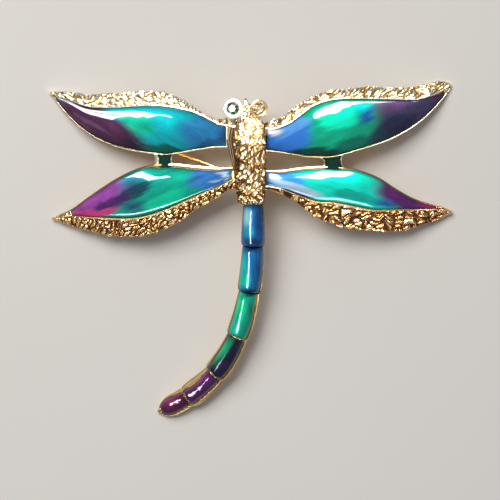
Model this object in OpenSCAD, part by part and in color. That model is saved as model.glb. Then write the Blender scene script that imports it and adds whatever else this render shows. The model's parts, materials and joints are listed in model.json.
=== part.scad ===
/* [Thorax] */
// Length of the thorax from the head to its lower lip
thorax_length = 13.6; // [12:0.1:15]
// Width of the thorax at its widest, with the flange
thorax_width = 6; // [5.4:0.1:6.8]
// Height of the thorax crest above its back
thorax_rise = 3.3; // [2.8:0.1:4]
// Distance from the origin to the head end of the thorax
thorax_front = 21.1; // [20.5:0.1:21.8]
// Height of the thorax's back above the surface that the brooch lies on
back_height = 4.6; // [4.3:0.1:5.6]
// Depth of the thorax below the wings' backs
thorax_sink = 0.15; // [0.05:0.05:0.3]
// Height of the nuggets on the thorax
thorax_nugget = 0.34; // [0.1:0.02:0.5]
// Width of the plain flange on the thorax's left side
flange_width = 1.2; // [0.6:0.05:1.3]
// Height of that flange
flange_height = 1.25; // [0.6:0.05:1.5]
// Radius of the beads of the collar over the tail
collar_bead = 0.5; // [0.35:0.05:0.6]

/* [Head] */
// Place of the middle of the head to the side of the origin
head_side = -0.92; // [-1.2:0.02:-0.6]
// Distance of the eye cups beyond the thorax's front
eye_reach = 1.35; // [1.1:0.05:1.6]
// Distance between the middles of the eye cups
eye_spread = 4.24; // [3.9:0.02:4.6]
// Height of the eye cups' mouths above the thorax's back
eye_height = 3.2; // [2.8:0.1:3.8]
// Outward lean of the eye cups
eye_lean = 12; // [4:1:18]
// Radius of an eye stone at its girdle
stone_radius = 0.95; // [0.8:0.05:1.1]
// Height of an eye stone's crown over its girdle
stone_crown = 0.4; // [0.25:0.05:0.5]
// Depth of an eye stone below its girdle
stone_depth = 0.8; // [0.6:0.05:0.95]
// Wall of an eye cup round its stone
cup_wall = 0.4; // [0.3:0.05:0.5]
// Extra wall of the left eye's cup
left_cup_extra = 0.2; // [0:0.05:0.25]
// Length of an eye cup
cup_length = 1.9; // [1.6:0.1:2.2]
// Height of an eye cup's lip over the stone's girdle
cup_lip = 0.22; // [0.1:0.02:0.3]
// Radius of the head between the eye cups
head_radius = 1.45; // [1.2:0.05:1.7]
// Reach of the pointed nub in front of the head
nub_reach = 1.65; // [1.2:0.05:2]
// Radius of the nub at its root
nub_radius = 0.55; // [0.4:0.05:0.7]

/* [Wings] */
// Length of the upper left wing
upper_left_length = 29.0; // [27:0.1:31]
// Length of the upper right wing
upper_right_length = 31.0; // [29:0.1:33]
// Length of the lower left wing
lower_left_length = 29.5; // [27.5:0.1:31.5]
// Length of the lower right wing
lower_right_length = 30.2; // [28.2:0.1:32]
// Width of the upper left wing, border included
upper_left_width = 10.1; // [9:0.1:10.6]
// Width of the upper right wing, border included
upper_right_width = 10.9; // [9.8:0.1:11.4]
// Width of the lower left wing, border included
lower_left_width = 10.4; // [9.2:0.1:10.8]
// Width of the lower right wing, border included
lower_right_width = 9.8; // [8.8:0.1:10.4]
// Rise of the upper left wing toward its tip
upper_left_sweep = 14; // [11:0.5:18]
// Rise of the upper right wing toward its tip
upper_right_sweep = 17; // [14:0.5:21]
// Fall of the lower left wing toward its tip
lower_left_sweep = 12.4; // [9:0.2:16]
// Fall of the lower right wing toward its tip
lower_right_sweep = 9.5; // [6:0.5:13]
// Distance of the upper left wing's root behind the thorax's front
upper_left_root = 3; // [2.8:0.1:3.4]
// Distance of the upper right wing's root behind the thorax's front
upper_right_root = 3.5; // [3.2:0.1:3.8]
// Distance of the lower left wing's root behind the thorax's front
lower_left_root = 9.6; // [9.3:0.1:10]
// Distance of the lower right wing's root behind the thorax's front
lower_right_root = 9.9; // [9.6:0.1:10.2]
// Height of the upper wing tips' backs above the surface
upper_tip_lift = 0; // [0:0.1:0.8]
// Height of the lower wing tips' backs above the surface
lower_tip_lift = 0.4; // [0:0.1:1]
// Length of each wing root inside the thorax
root_tuck = 1.6; // [1.3:0.1:1.9]

/* [Wing section] */
// Width of the plain rim along each wing
rim_width = 0.3; // [0.2:0.02:0.4]
// Extra width of the lower wings' rims beside the bridges
rim_swell = 0.35; // [0:0.05:0.5]
// Width of the smooth lip between the nuggets and the enamel
lip_width = 0.16; // [0.1:0.02:0.24]
// Height of the rim above the wing's back
rim_height = 0.9; // [0.8:0.05:1.2]
// Height of the nugget border's outer edge
edge_height = 0.55; // [0.4:0.05:0.8]
// Height of the nugget border where it meets the enamel
seam_height = 1.35; // [1.2:0.05:1.6]
// Height of the nuggets on the wing borders
wing_nugget = 0.34; // [0.1:0.02:0.5]
// Unevenness of the border's outline
edge_nugget = 0.2; // [0:0.02:0.3]
// Depth of the hollow in each wing's back
back_hollow = 0.6; // [0.2:0.05:0.7]
// Thickness of the enamel
enamel_thickness = 0.5; // [0.35:0.05:0.6]
// Height of the enamel's dome over its edges
enamel_crown = 0.9; // [0.6:0.05:1.2]
// Distance of the left wings' enamel from the thorax
left_enamel_start = 0.45; // [0.4:0.05:0.8]
// Distance of the right wings' enamel from the thorax
right_enamel_start = 0.25; // [0.2:0.05:0.6]
// Gap between the enamel and the metal
enamel_gap = 0.05; // [0.03:0.01:0.08]

/* [Bridges] */
// Width of the left bridge between the wings
left_bridge_width = 2.9; // [2.4:0.1:3.4]
// Width of the right bridge between the wings
right_bridge_width = 3.1; // [2.5:0.1:3.5]
// Thickness of a bridge's metal
bridge_thickness = 0.4; // [0.3:0.05:0.6]
// Thickness of the enamel on a bridge
bridge_enamel_thickness = 0.3; // [0.2:0.05:0.4]
// Width of the left bridge's metal edge toward the wing tips
left_bridge_edge = 0.75; // [0.4:0.05:0.9]
// Width of the right bridge's metal edge toward the wing tips
right_bridge_edge = 0.26; // [0.2:0.02:0.4]
// Width of each bridge's metal edge toward the body
inner_bridge_edge = 0.24; // [0.2:0.02:0.35]

/* [Tail] */
// Length of the tail along its curve
tail_length = 39.6; // [37:0.2:42]
// Turn of the tail from its root to its tip
tail_curl = 68; // [50:1:75]
// Width of the tail at its widest
tail_width = 4.1; // [3.6:0.1:4.3]
// Height of the tail above its back at its root
tail_rise = 2.1; // [1.8:0.1:2.4]
// Place of the tail's root to the side of the origin
tail_side = 0.3; // [0:0.05:0.4]
// Length of the tail's root inside the thorax
tail_tuck = 0.8; // [0.5:0.1:1.2]
// Width of the metal rim beside the tail's enamel at its widest
tail_rim = 0.55; // [0.4:0.01:0.65]
// Height of that rim above the tail's back
tail_rim_height = 0.6; // [0.45:0.05:0.8]
// Length of the metal lip between two segments
tail_lip = 0.3; // [0.2:0.02:0.4]

/* [Pin] */
// Place of the hinge rivet to the right of the origin
hinge_side = 10.64; // [10.2:0.02:11.2]
// Place of the hinge rivet above the origin
hinge_up = 6.93; // [6.6:0.03:7.2]
// Rise of the pin from its hinge to its point
pin_slope = 21; // [20:0.5:22]
// Height of the pin's axis above the surface
pin_height = 1.5; // [1.35:0.05:1.6]
// Length of the pin from its rivet to its point
pin_length = 30; // [29:0.1:31]
// Radius of the pin's straight wall
pin_radius = 0.35; // [0.3:0.01:0.4]
// Radius of the pin's tapered shoulder beside its eye
shoulder_radius = 0.5; // [0.45:0.01:0.55]
// Distance from the rivet to the end of the shoulder
shoulder_length = 2.3; // [2:0.1:2.8]
// Length of the taper to the pin's point
pin_taper = 4.5; // [3.5:0.1:5.5]
// Radius of the pin's eye
eye_ring_radius = 0.95; // [0.85:0.05:1.1]
// Width of the pin's eye along the rivet
eye_ring_width = 1.2; // [1:0.05:1.4]
// Radius of the rivet
rivet_radius = 0.38; // [0.32:0.01:0.42]
// Radius of the rivet's heads
rivet_head = 0.68; // [0.6:0.02:0.8]
// Running clearance of the pin on its rivet
hinge_clearance = 0.04; // [0.02:0.01:0.06]

/* [Bracket and catch] */
// Thickness of the bracket's and the catch's sheet
sheet = 0.5; // [0.4:0.05:0.6]
// Clearance between the pin's eye and each ear
ear_clearance = 0.05; // [0.03:0.01:0.08]
// Length of the bracket's foot behind the rivet
bracket_tail = 3.3; // [3:0.1:3.6]
// Distance from the rivet to the catch's middle
catch_place = 27.2; // [27:0.1:27.8]
// Length of the catch's tube
catch_length = 2.4; // [2:0.1:2.6]
// Radius of the catch's bore
catch_bore = 0.7; // [0.6:0.02:0.8]
// Width of the catch's slot
catch_slot = 1; // [0.9:0.05:1.1]
// Reach of the catch's foot to the side of the pin
catch_reach = 3.3; // [3:0.1:3.5]
// Radius of the two studs that hold the bracket and the catch
stud_radius = 0.45; // [0.35:0.05:0.55]
// Radius of the studs' spread heads
stud_head = 0.8; // [0.7:0.05:0.9]
// Thickness of the studs' and the rivet's heads
head_thickness = 0.3; // [0.2:0.05:0.35]
// Depth of the two pads below the wings' backs
pad_depth = 0.25; // [0.15:0.05:0.4]
// Depth of the pads inside the wings' metal
pad_embed = 0.75; // [0.65:0.05:0.8]
// Gap between a staked piece and the metal that holds it
stake_gap = 0.05; // [0.03:0.01:0.08]

/* [Hidden] */

// The wings in the order upper left, upper right, lower left, lower right
upper_left = 0;
upper_right = 1;
lower_left = 2;
lower_right = 3;
wings = [upper_left, upper_right, lower_left, lower_right];
wing_hand = [-1, 1, -1, 1];
wing_band = [1, 1, -1, -1];
wing_length = [upper_left_length, upper_right_length, lower_left_length, lower_right_length];
wing_width = [upper_left_width, upper_right_width, lower_left_width, lower_right_width];
wing_sweep = [upper_left_sweep, upper_right_sweep, lower_left_sweep, lower_right_sweep];
wing_root = [upper_left_root, upper_right_root, lower_left_root, lower_right_root];
wing_lift = [upper_tip_lift, upper_tip_lift, lower_tip_lift, lower_tip_lift];
// Share of each wing's length at which its enamel ends
enamel_end = [0.965, 0.965, 0.9, 0.925];

// Columns of the wing tables. Along is a share of the wing's length, and the others are shares of its width,
// measured from the line between root and tip toward the nugget border.
border_column = 1;
seam_column = 2;
rim_column = 3;
wing_table = [
    [
        // along, border, seam, rim
        [0, 0.31, 0.16, -0.17],
        [0.05, 0.27, 0.15, -0.21],
        [0.1, 0.25, 0.19, -0.26],
        [0.2, 0.35, 0.24, -0.39],
        [0.3, 0.42, 0.24, -0.52],
        [0.4, 0.45, 0.21, -0.56],
        [0.5, 0.4, 0.14, -0.585],
        [0.6, 0.31, 0.05, -0.58],
        [0.7, 0.21, -0.03, -0.53],
        [0.8, 0.14, -0.07, -0.42],
        [0.9, 0.11, -0.04, -0.25],
        [0.96, 0.08, -0.03, -0.12],
        [1, 0.04, 0, -0.03]
    ],
    [
        // along, border, seam, rim
        [0, 0.25, 0.15, -0.17],
        [0.05, 0.255, 0.1, -0.22],
        [0.1, 0.25, 0.1, -0.285],
        [0.15, 0.3, 0.12, -0.36],
        [0.2, 0.345, 0.17, -0.44],
        [0.3, 0.415, 0.26, -0.54],
        [0.4, 0.42, 0.26, -0.56],
        [0.5, 0.37, 0.19, -0.56],
        [0.6, 0.31, 0.1, -0.55],
        [0.7, 0.205, 0.01, -0.505],
        [0.8, 0.135, -0.08, -0.42],
        [0.9, 0.105, -0.1, -0.28],
        [0.96, 0.09, -0.07, -0.17],
        [1, 0.03, -0.03, -0.08]
    ],
    [
        // along, border, seam, rim
        [0, 0.155, 0.015, -0.165],
        [0.1, 0.26, 0.085, -0.235],
        [0.2, 0.34, 0.135, -0.325],
        [0.3, 0.445, 0.195, -0.425],
        [0.4, 0.535, 0.25, -0.47],
        [0.5, 0.56, 0.275, -0.46],
        [0.6, 0.56, 0.26, -0.4],
        [0.7, 0.49, 0.19, -0.305],
        [0.8, 0.36, 0.115, -0.19],
        [0.9, 0.22, 0.03, -0.07],
        [0.96, 0.11, 0.005, -0.035],
        [1, 0.04, 0, -0.01]
    ],
    [
        // along, border, seam, rim
        [0, 0.175, 0.095, -0.16],
        [0.05, 0.165, 0.09, -0.185],
        [0.1, 0.2, 0.1, -0.22],
        [0.2, 0.32, 0.16, -0.32],
        [0.3, 0.465, 0.205, -0.39],
        [0.4, 0.54, 0.175, -0.42],
        [0.5, 0.57, 0.18, -0.41],
        [0.6, 0.535, 0.185, -0.345],
        [0.7, 0.505, 0.13, -0.215],
        [0.8, 0.41, 0.07, -0.11],
        [0.9, 0.255, 0.015, -0.065],
        [0.96, 0.145, -0.01, -0.045],
        [1, 0.06, 0.01, -0.02]
    ]
];

// Thorax sections from the head down. Along is a share of the thorax's length, left and right are shares of its
// width from the brooch's centre line, and height is a share of its rise.
left_column = 1;
right_column = 2;
height_column = 3;
thorax_table = [
    // along, left, right, height
    [0, -0.39, 0.17, 0.72],
    [0.07, -0.55, 0.28, 0.86],
    [0.16, -0.63, 0.33, 0.96],
    [0.26, -0.67, 0.335, 1],
    [0.4, -0.6, 0.335, 1],
    [0.55, -0.52, 0.335, 0.97],
    [0.73, -0.47, 0.335, 0.93],
    [0.9, -0.39, 0.31, 0.88],
    [1, -0.36, 0.28, 0.84]
];

// Tail sections from the root. Along is a share of the tail's length, heading a share of its curl, width and height
// are shares of its width and its rise, and left rim and right rim are shares of its rim.
heading_column = 1;
width_column = 2;
rise_column = 3;
left_rim_column = 4;
right_rim_column = 5;
tail_table = [
    // along, heading, width, height, left rim, right rim
    [0, 0, 0.87, 1, 0.2, 0.2],
    [0.1, 0.01, 0.93, 1, 0.2, 0.2],
    [0.26, 0.06, 0.94, 0.97, 0.2, 0.25],
    [0.38, 0.15, 0.95, 0.95, 0.3, 0.7],
    [0.48, 0.24, 0.95, 0.93, 0.4, 0.7],
    [0.6, 0.395, 0.97, 0.88, 0.55, 0.8],
    [0.72, 0.595, 1, 0.84, 0.9, 1.1],
    [0.82, 0.77, 1.01, 0.8, 1.7, 1.3],
    [0.86, 0.83, 0.98, 0.78, 1.3, 1],
    [0.93, 0.93, 0.88, 0.7, 0.7, 0.7],
    [1, 1, 0.78, 0.62, 0.4, 0.4]
];
// Shares of the tail's length at which its segments meet
tail_joints = [0, 0.17, 0.355, 0.543, 0.722, 0.868, 1];
tail_segments = 6;
// Narrowing of each segment at its upper end
segment_pinch = 0.1;

// Counts of stations and points
wing_stations = 22;
tip_stations = 4;
border_points = 4;
bed_points = 5;
hollow_points = 3;
thorax_stations = 24;
thorax_points = 9;
tail_stations = 5;
tail_points = 7;
path_steps = 66;
round_sides = 24;
fine_sides = 48;

// Seeded unevenness of the nuggets, one number for each point of a border or of the thorax
wing_rows = wing_stations + tip_stations + 5;
wing_noise = [for (w = wings) rands(0, 1, wing_rows * (border_points + 1), 31 + w)];
thorax_noise = rands(0, 1, (thorax_stations + 1) * thorax_points, 17);

// Plain helpers
function mix(a, b, t) = a + (b - a) * t;
function clamp(v) = min(max(v, 0), 1);
function ease(t) = clamp(t) * clamp(t) * (3 - 2 * clamp(t));
function dome(t) = pow(max(1 - pow(abs(2 * t - 1), 2.5), 0), 0.6);

// Smooth value of a table's column at a place along it
function row_below(table, s) =
    let (below = [for (i = [0:len(table) - 2]) if (table[i][0] <= s) i])
    len(below) == 0 ? 0 : below[len(below) - 1];
function slope(table, i, column) =
    let (
        a = max(i - 1, 0),
        b = min(i + 1, len(table) - 1)
    )
    (table[b][column] - table[a][column]) / (table[b][0] - table[a][0]);
function read(table, s, column) =
    let (
        i = row_below(table, s),
        span = table[i + 1][0] - table[i][0],
        t = clamp((s - table[i][0]) / span),
        a = table[i][column],
        b = table[i + 1][column],
        out = slope(table, i, column) * span,
        home = slope(table, i + 1, column) * span
    )
    a + out * t + (3 * (b - a) - 2 * out - home) * t * t + (2 * (a - b) + out + home) * t * t * t;

// A closed solid through rings of points with a flat cap at each end. In paired rings the first point lies over the
// last and the second over the last but one, and their caps are strips between the two rows.
module loft(rings, flip, paired = false) {
    count = len(rings[0]);
    last = len(rings) - 1;
    sides = [
        for (i = [0:last - 1])
            for (j = [0:count - 1])
                let (
                    a = i * count + j,
                    b = i * count + (j + 1) % count,
                    c = a + count,
                    d = b + count
                )
                each (i + j) % 2 == 0 ? [[a, c, d], [a, d, b]] : [[a, c, b], [b, c, d]]
    ];
    strip = [
        for (j = [0:count / 2 - 2])
            each [[j, j + 1, count - 2 - j], [j, count - 2 - j, count - 1 - j]]
    ];
    near = paired ? strip : [[for (j = [0:count - 1]) j]];
    far = [for (f = near) [for (k = [len(f) - 1:-1:0]) last * count + f[k]]];
    faces = concat(sides, near, far);
    polyhedron(
        points = [for (ring = rings) each ring],
        faces = flip ? [for (f = faces) [for (k = [len(f) - 1:-1:0]) f[k]]] : faces,
        convexity = 8
    );
}

// Thorax
function thorax_y(s) = thorax_front - s * thorax_length;
function thorax_side(s, hand) =
    thorax_width * read(thorax_table, s, hand < 0 ? left_column : right_column);
// The flange narrows toward the thorax's lower end
function flange_inside(s) = thorax_side(s, -1) + flange_width * mix(1, 0.3, ease((s - 0.25) / 0.65));
function thorax_crown(s, t) =
    let (rise = thorax_rise * read(thorax_table, s, height_column))
    [
        mix(flange_inside(s), thorax_side(s, 1), pow(t, 0.9)),
        mix(flange_height, rise, dome(mix(0.04, 0.9, t)))
    ];
function thorax_ring(i) =
    let (
        s = i / thorax_stations,
        y = thorax_y(s),
        left = thorax_side(s, -1),
        right = thorax_side(s, 1)
    )
    concat(
        [
            [left, y, back_height - thorax_sink],
            [right, y, back_height - thorax_sink]
        ],
        [
            for (j = [0:thorax_points - 1])
                let (
                    spot = thorax_crown(s, 1 - j / (thorax_points - 1)),
                    ridge = (i + j) % 2 == 0 ? 0.15 : 0.85,
                    lump = thorax_nugget * (thorax_noise[i * thorax_points + j] - ridge)
                )
                [spot[0], y, back_height + spot[1] + lump * (j == 0 ? 0.3 : 1)]
        ],
        [
            [flange_inside(s), y, back_height + flange_height],
            [left, y, back_height + flange_height * 0.85]
        ]
    );
module thorax() {
    loft([for (i = [0:thorax_stations]) thorax_ring(i)], false);
}
module collar() {
    for (t = [0.06:0.22:0.94])
        let (spot = thorax_crown(1, t))
        translate([spot[0], thorax_y(1) + collar_bead * 0.4, back_height + spot[1] - collar_bead * 0.4])
            sphere(r = collar_bead, $fn = 10);
}

// Head
eye_y = thorax_front + eye_reach;
cup_radius = stone_radius + enamel_gap + cup_wall;
module at_eye(hand) {
    translate([head_side + hand * eye_spread / 2, eye_y, back_height + eye_height])
        rotate([0, hand * eye_lean, 0])
            children();
}
module eye_pocket() {
    mouth = stone_radius + enamel_gap;
    seat = -cup_lip - stone_depth - enamel_gap;
    rotate_extrude($fn = round_sides)
        polygon([[0, seat], [stone_radius * 0.2, seat], [mouth, -cup_lip], [mouth, 1], [0, 1]]);
}
module eye_cup(hand) {
    at_eye(hand) {
        translate([0, 0, -cup_length])
            cylinder(r = cup_radius + (hand < 0 ? left_cup_extra : 0), h = cup_length, $fn = round_sides);
    }
    hull() {
        at_eye(hand)
            translate([0, 0, -cup_length])
                cylinder(r = cup_radius * 0.85, h = cup_length * 0.4, $fn = 12);
        translate([head_side, thorax_front, back_height + head_radius])
            sphere(r = head_radius * 0.7, $fn = 10);
    }
}
module head() {
    hull() {
        translate([head_side, thorax_front - 0.4, back_height + head_radius])
            sphere(r = head_radius, $fn = 14);
        translate([head_side, eye_y, back_height + head_radius * 0.9])
            sphere(r = head_radius * 0.8, $fn = 14);
    }
    hull() {
        translate([head_side, eye_y, back_height + head_radius * 1.15])
            sphere(r = nub_radius, $fn = 12);
        translate([head_side, eye_y + nub_reach, back_height + head_radius])
            sphere(r = nub_radius * 0.45, $fn = 12);
    }
}
module eye_stone(hand) {
    at_eye(hand)
        translate([0, 0, -cup_lip])
            hull() {
                translate([0, 0, stone_crown - 0.01])
                    cylinder(r = stone_radius * 0.6, h = 0.01, $fn = 8);
                translate([0, 0, stone_crown * 0.55])
                    rotate(22.5)
                        cylinder(r = stone_radius * 0.87, h = 0.01, $fn = 8);
                cylinder(r = stone_radius, h = 0.06, $fn = 16);
                translate([0, 0, -stone_depth])
                    cylinder(r = stone_radius * 0.08, h = 0.01, $fn = 8);
            }
}

// Wings
function wing_outward(w) = [wing_hand[w] * cos(wing_sweep[w]), wing_band[w] * sin(wing_sweep[w]), 0];
function wing_across(w) = [-wing_hand[w] * sin(wing_sweep[w]), wing_band[w] * cos(wing_sweep[w]), 0];
function wing_start(w) = [
    thorax_side(wing_root[w] / thorax_length, wing_hand[w]),
    thorax_front - wing_root[w],
    0
];
// Height of a wing's back, which falls from the thorax toward the tip
function wing_back(w, s) = mix(wing_lift[w], back_height, 1 - pow(clamp(s), 1.7));
// The sections near the root run along the thorax's side, and those further out run square to the wing
function wing_skew(w, s) = tan(wing_sweep[w]) * (1 - ease(s / 0.3));
function wing_spot(w, s, across, up) =
    wing_start(w)
    + wing_outward(w) * (s * wing_length[w] + wing_skew(w, s) * across)
    + wing_across(w) * across
    + [0, 0, wing_back(w, s) + up];
function wing_edge(w, s, column) = wing_width[w] * read(wing_table[w], s, column);
// The wing thins toward its tip
function wing_thinning(s) = 1 - 0.42 * ease((s - 0.8) / 0.2);
// The lower wings' rims widen beside the bridges, whose places are shares of the wings' lengths
bridge_share = [0.315, 0.31, 0.356, 0.352];
function local_rim(w, s) =
    let (
        room = wing_edge(w, s, seam_column) - wing_edge(w, s, rim_column),
        swell = w == lower_left || w == lower_right ? rim_swell : 0
    )
    min(rim_width + swell * ease(1 - abs(s - bridge_share[w]) / 0.3), 0.22 * room);
function pool_width(w, s) =
    wing_edge(w, s, seam_column) - wing_edge(w, s, rim_column) - local_rim(w, s);
function crown_at(w, s) = enamel_crown * pow(clamp(pool_width(w, s) / (0.75 * wing_width[w])), 0.9);
function enamel_top(w, s, t) =
    wing_thinning(s) * mix(seam_height - 0.15, rim_height, t) + crown_at(w, s) * dome(t);
function enamel_foot(w, s, t) =
    enamel_top(w, s, t) - enamel_thickness * wing_thinning(s) * mix(0.6, 1, dome(t));
function pool_across(w, s, t) =
    mix(
        wing_edge(w, s, seam_column) - enamel_gap,
        wing_edge(w, s, rim_column) + local_rim(w, s) + enamel_gap,
        t
    );
// Places across the enamel, closer together near its edges
function spread(j, count) = (1 - cos(180 * j / count)) / 2;

enamel_start = [left_enamel_start, right_enamel_start, left_enamel_start, right_enamel_start];
enamel_from = [for (w = wings) enamel_start[w] / wing_length[w]];
function enamel_station(w, i) = mix(enamel_from[w], enamel_end[w], i / wing_stations);
function wing_station_list(w) =
    let (
        step = enamel_gap / wing_length[w],
        home = enamel_end[w] + 2 * step
    )
    concat(
        [-root_tuck / wing_length[w], enamel_from[w] - step],
        [for (i = [0:wing_stations]) enamel_station(w, i)],
        [for (i = [0:tip_stations]) mix(home, 1, i / tip_stations)]
    );

function wing_ring(w, s, row) =
    let (
        filled = s < enamel_from[w] || s > enamel_end[w],
        thin = wing_thinning(s),
        noise = [for (j = [0:border_points]) wing_noise[w][row * (border_points + 1) + j]],
        seam = wing_edge(w, s, seam_column),
        rim = wing_edge(w, s, rim_column),
        edge = max(wing_edge(w, s, border_column), seam + 0.15) - edge_nugget * noise[border_points] * thin,
        wall = rim + local_rim(w, s),
        hollow = back_hollow * ease(s / 0.12) * (1 - ease((s - 0.6) / 0.35)),
        low = thin * edge_height,
        high = thin * seam_height,
        back = [
            for (j = [0:hollow_points + 1])
                let (t = j / (hollow_points + 1))
                [mix(rim, edge, t), hollow * (1 - pow(2 * t - 1, 2))]
        ],
        border = [
            for (j = [1:border_points])
                let (
                    t = j / (border_points + 1),
                    ridge = (row + j) % 2 == 0 ? 0.9 : 0.1,
                    lump = wing_nugget * thin * (noise[j - 1] - ridge)
                )
                [mix(edge, seam + lip_width * thin, t), mix(low, high, sin(90 * t)) + lump]
        ],
        bed = [
            for (j = [0:bed_points + 1])
                let (t = spread(j, bed_points + 1))
                [
                    j == 0 ? seam : j == bed_points + 1 ? wall : pool_across(w, s, t),
                    filled ? mix(high, thin * rim_height, t) : enamel_foot(w, s, t) - enamel_gap
                ]
        ]
    )
    [
        for (p = concat(
            back,
            [[edge, low]],
            border,
            [[seam + lip_width * thin, high]],
            bed,
            [[mix(wall, rim, 0.2), thin * rim_height], [rim, thin * rim_height * 0.8]]
        ))
            wing_spot(w, s, p[0], p[1])
    ];
module wing(w) {
    places = wing_station_list(w);
    loft(
        [for (i = [0:len(places) - 1]) wing_ring(w, places[i], i)],
        wing_hand[w] * wing_band[w] < 0
    );
}

function enamel_ring(w, s) =
    [
        for (p = concat(
            [
                for (j = [bed_points + 1:-1:0])
                    let (t = spread(j, bed_points + 1))
                    [pool_across(w, s, t), enamel_foot(w, s, t)]
            ],
            [
                for (j = [0:bed_points + 1])
                    let (t = spread(j, bed_points + 1))
                    [pool_across(w, s, t), enamel_top(w, s, t)]
            ]
        ))
            wing_spot(w, s, p[0], p[1])
    ];
module wing_enamel(w) {
    step = enamel_gap / wing_length[w];
    loft(
        [
            for (i = [0:wing_stations])
                enamel_ring(w, enamel_station(w, i) + (i == 0 ? step : i == wing_stations ? -step : 0))
        ],
        wing_hand[w] * wing_band[w] < 0,
        paired = true
    );
}

// Bridges
bridge_edge = [left_bridge_edge, right_bridge_edge];
bridge_width = [left_bridge_width, right_bridge_width];
bridge_sink = 0.15;
bridge_floor = 0.1;
bridge_high = bridge_floor + bridge_thickness;
// Corner of a slab between two wings: over is how much of the rim the slab crosses, and inset its depth beyond that
function bridge_corner(w, slide, over, inset, up) =
    let (s = bridge_share[w] + slide / wing_length[w])
    wing_spot(w, s, wing_edge(w, s, rim_column) + over * local_rim(w, s) + inset, up);
// The slab's ends are given as [over, inset] for its upper and its lower wing
module bridge_slab(pair, from, to, upper_end, lower_end, low, high) {
    ends = [[pair, from, upper_end], [pair, to, upper_end], [pair + 2, to, lower_end], [pair + 2, from, lower_end]];
    points = [
        for (up = [low, high])
            for (e = ends)
                bridge_corner(e[0], e[1], e[2][0], e[2][1], up)
    ];
    hull()
        polyhedron(
            points = points,
            faces = [[0, 1, 2, 3], [7, 6, 5, 4], [0, 4, 5, 1], [1, 5, 6, 2], [2, 6, 7, 3], [3, 7, 4, 0]]
        );
}
module bridge(pair) {
    half = bridge_width[pair] / 2;
    end = [0, bridge_sink];
    high = bridge_high + bridge_enamel_thickness;
    bridge_slab(pair, -half, half, end, end, bridge_floor, bridge_high);
    bridge_slab(pair, -half, inner_bridge_edge - half, end, end, bridge_floor, high);
    bridge_slab(pair, half - bridge_edge[pair], half, end, end, bridge_floor, high);
}
// The enamel between the edges crosses the lower wing's rim through a notch
module bridge_fill(pair, gap, low, high) {
    half = bridge_width[pair] / 2;
    bridge_slab(
        pair,
        -half + inner_bridge_edge + gap,
        half - bridge_edge[pair] - gap,
        [0, -gap],
        [1, 0.02 - gap],
        low,
        high
    );
}
module bridge_notch(pair) {
    bridge_fill(pair, 0, bridge_high, bridge_high + 1);
}
module bridge_enamel(pair) {
    bridge_fill(pair, enamel_gap, bridge_high + enamel_gap, bridge_high + bridge_enamel_thickness);
}

// Tail: its line is stepped along the headings in the table
tail_start = [tail_side, thorax_y(1), 0];
function tail_heading(s) = tail_curl * read(tail_table, s, heading_column);
function tail_outward(s) = [-sin(tail_heading(s)), -cos(tail_heading(s)), 0];
function tail_across(s) = [cos(tail_heading(s)), -sin(tail_heading(s)), 0];
tail_path = [
    for (
        i = 0, p = tail_start;
        i <= path_steps;
        i = i + 1,
        p = p + tail_outward((i - 0.5) / path_steps) * tail_length / path_steps
    )
        p
];
function tail_line(s) =
    let (
        place = clamp(s) * path_steps,
        i = min(floor(place), path_steps - 1)
    )
    mix(tail_path[i], tail_path[i + 1], place - i);
function tail_back(s) = back_height * (1 - pow(clamp(s), 1.5));
function tail_spot(s, across, up) =
    tail_line(s)
    + tail_outward(0) * min(s, 0) * tail_length
    + tail_across(s) * across
    + [0, 0, tail_back(s) + up];
// Place inside a segment: 0 at its upper end and 1 at its lower end
function tail_segment(s) =
    let (found = [for (k = [0:tail_segments - 1]) if (tail_joints[k] <= s) k])
    len(found) == 0 ? 0 : found[len(found) - 1];
function segment_place(s) =
    let (k = tail_segment(s))
    clamp((s - tail_joints[k]) / (tail_joints[k + 1] - tail_joints[k]));
// Each segment swells toward its lower end, and the last one rounds off
function tail_swell(s) = 1 - segment_pinch * (1 - ease(segment_place(s) * 1.2));
function tail_round(s) = sqrt(max(1 - pow(clamp((s - 0.93) / 0.07), 2), 0.05));
function tail_half(s) = tail_width / 2 * read(tail_table, s, width_column) * tail_swell(s) * tail_round(s);
function tail_top(s) = tail_rise * read(tail_table, s, rise_column) * tail_swell(s) * mix(0.55, 1, tail_round(s));
function tail_dome(s, t, sink) =
    let (base = tail_rim_height * 0.75)
    mix(base, tail_top(s) - sink, pow(max(1 - pow(abs(2 * t - 1), 2.3), 0), 0.5));
function tail_inner(s, column) =
    tail_half(s) - tail_rim * read(tail_table, s, column) * tail_round(s);
function tail_place(s, t) = mix(tail_inner(s, right_rim_column), -tail_inner(s, left_rim_column), t);
function core_section(s, sink) =
    [
        for (j = [0:tail_points - 1])
            let (t = spread(j, tail_points - 1))
            [tail_place(s, t), tail_dome(s, t, sink)]
    ];
function tail_ring(s, shape, sink) =
    [
        for (p = concat(
            [[-tail_half(shape), 0], [tail_half(shape), 0], [tail_half(shape), tail_rim_height]],
            core_section(shape, sink),
            [[-tail_half(shape), tail_rim_height]]
        ))
            tail_spot(s, p[0], p[1])
    ];
function tail_lip_half(k) = tail_lip / 2 / tail_length;
function segment_from(k) = tail_joints[k] + tail_lip_half(k);
function segment_to(k) = tail_joints[k + 1] - (k < tail_segments - 1 ? tail_lip_half(k) : 0.8 / tail_length);
function segment_station(k, i) = mix(segment_from(k), segment_to(k), i / tail_stations);
core_sink = enamel_thickness + enamel_gap;
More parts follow.
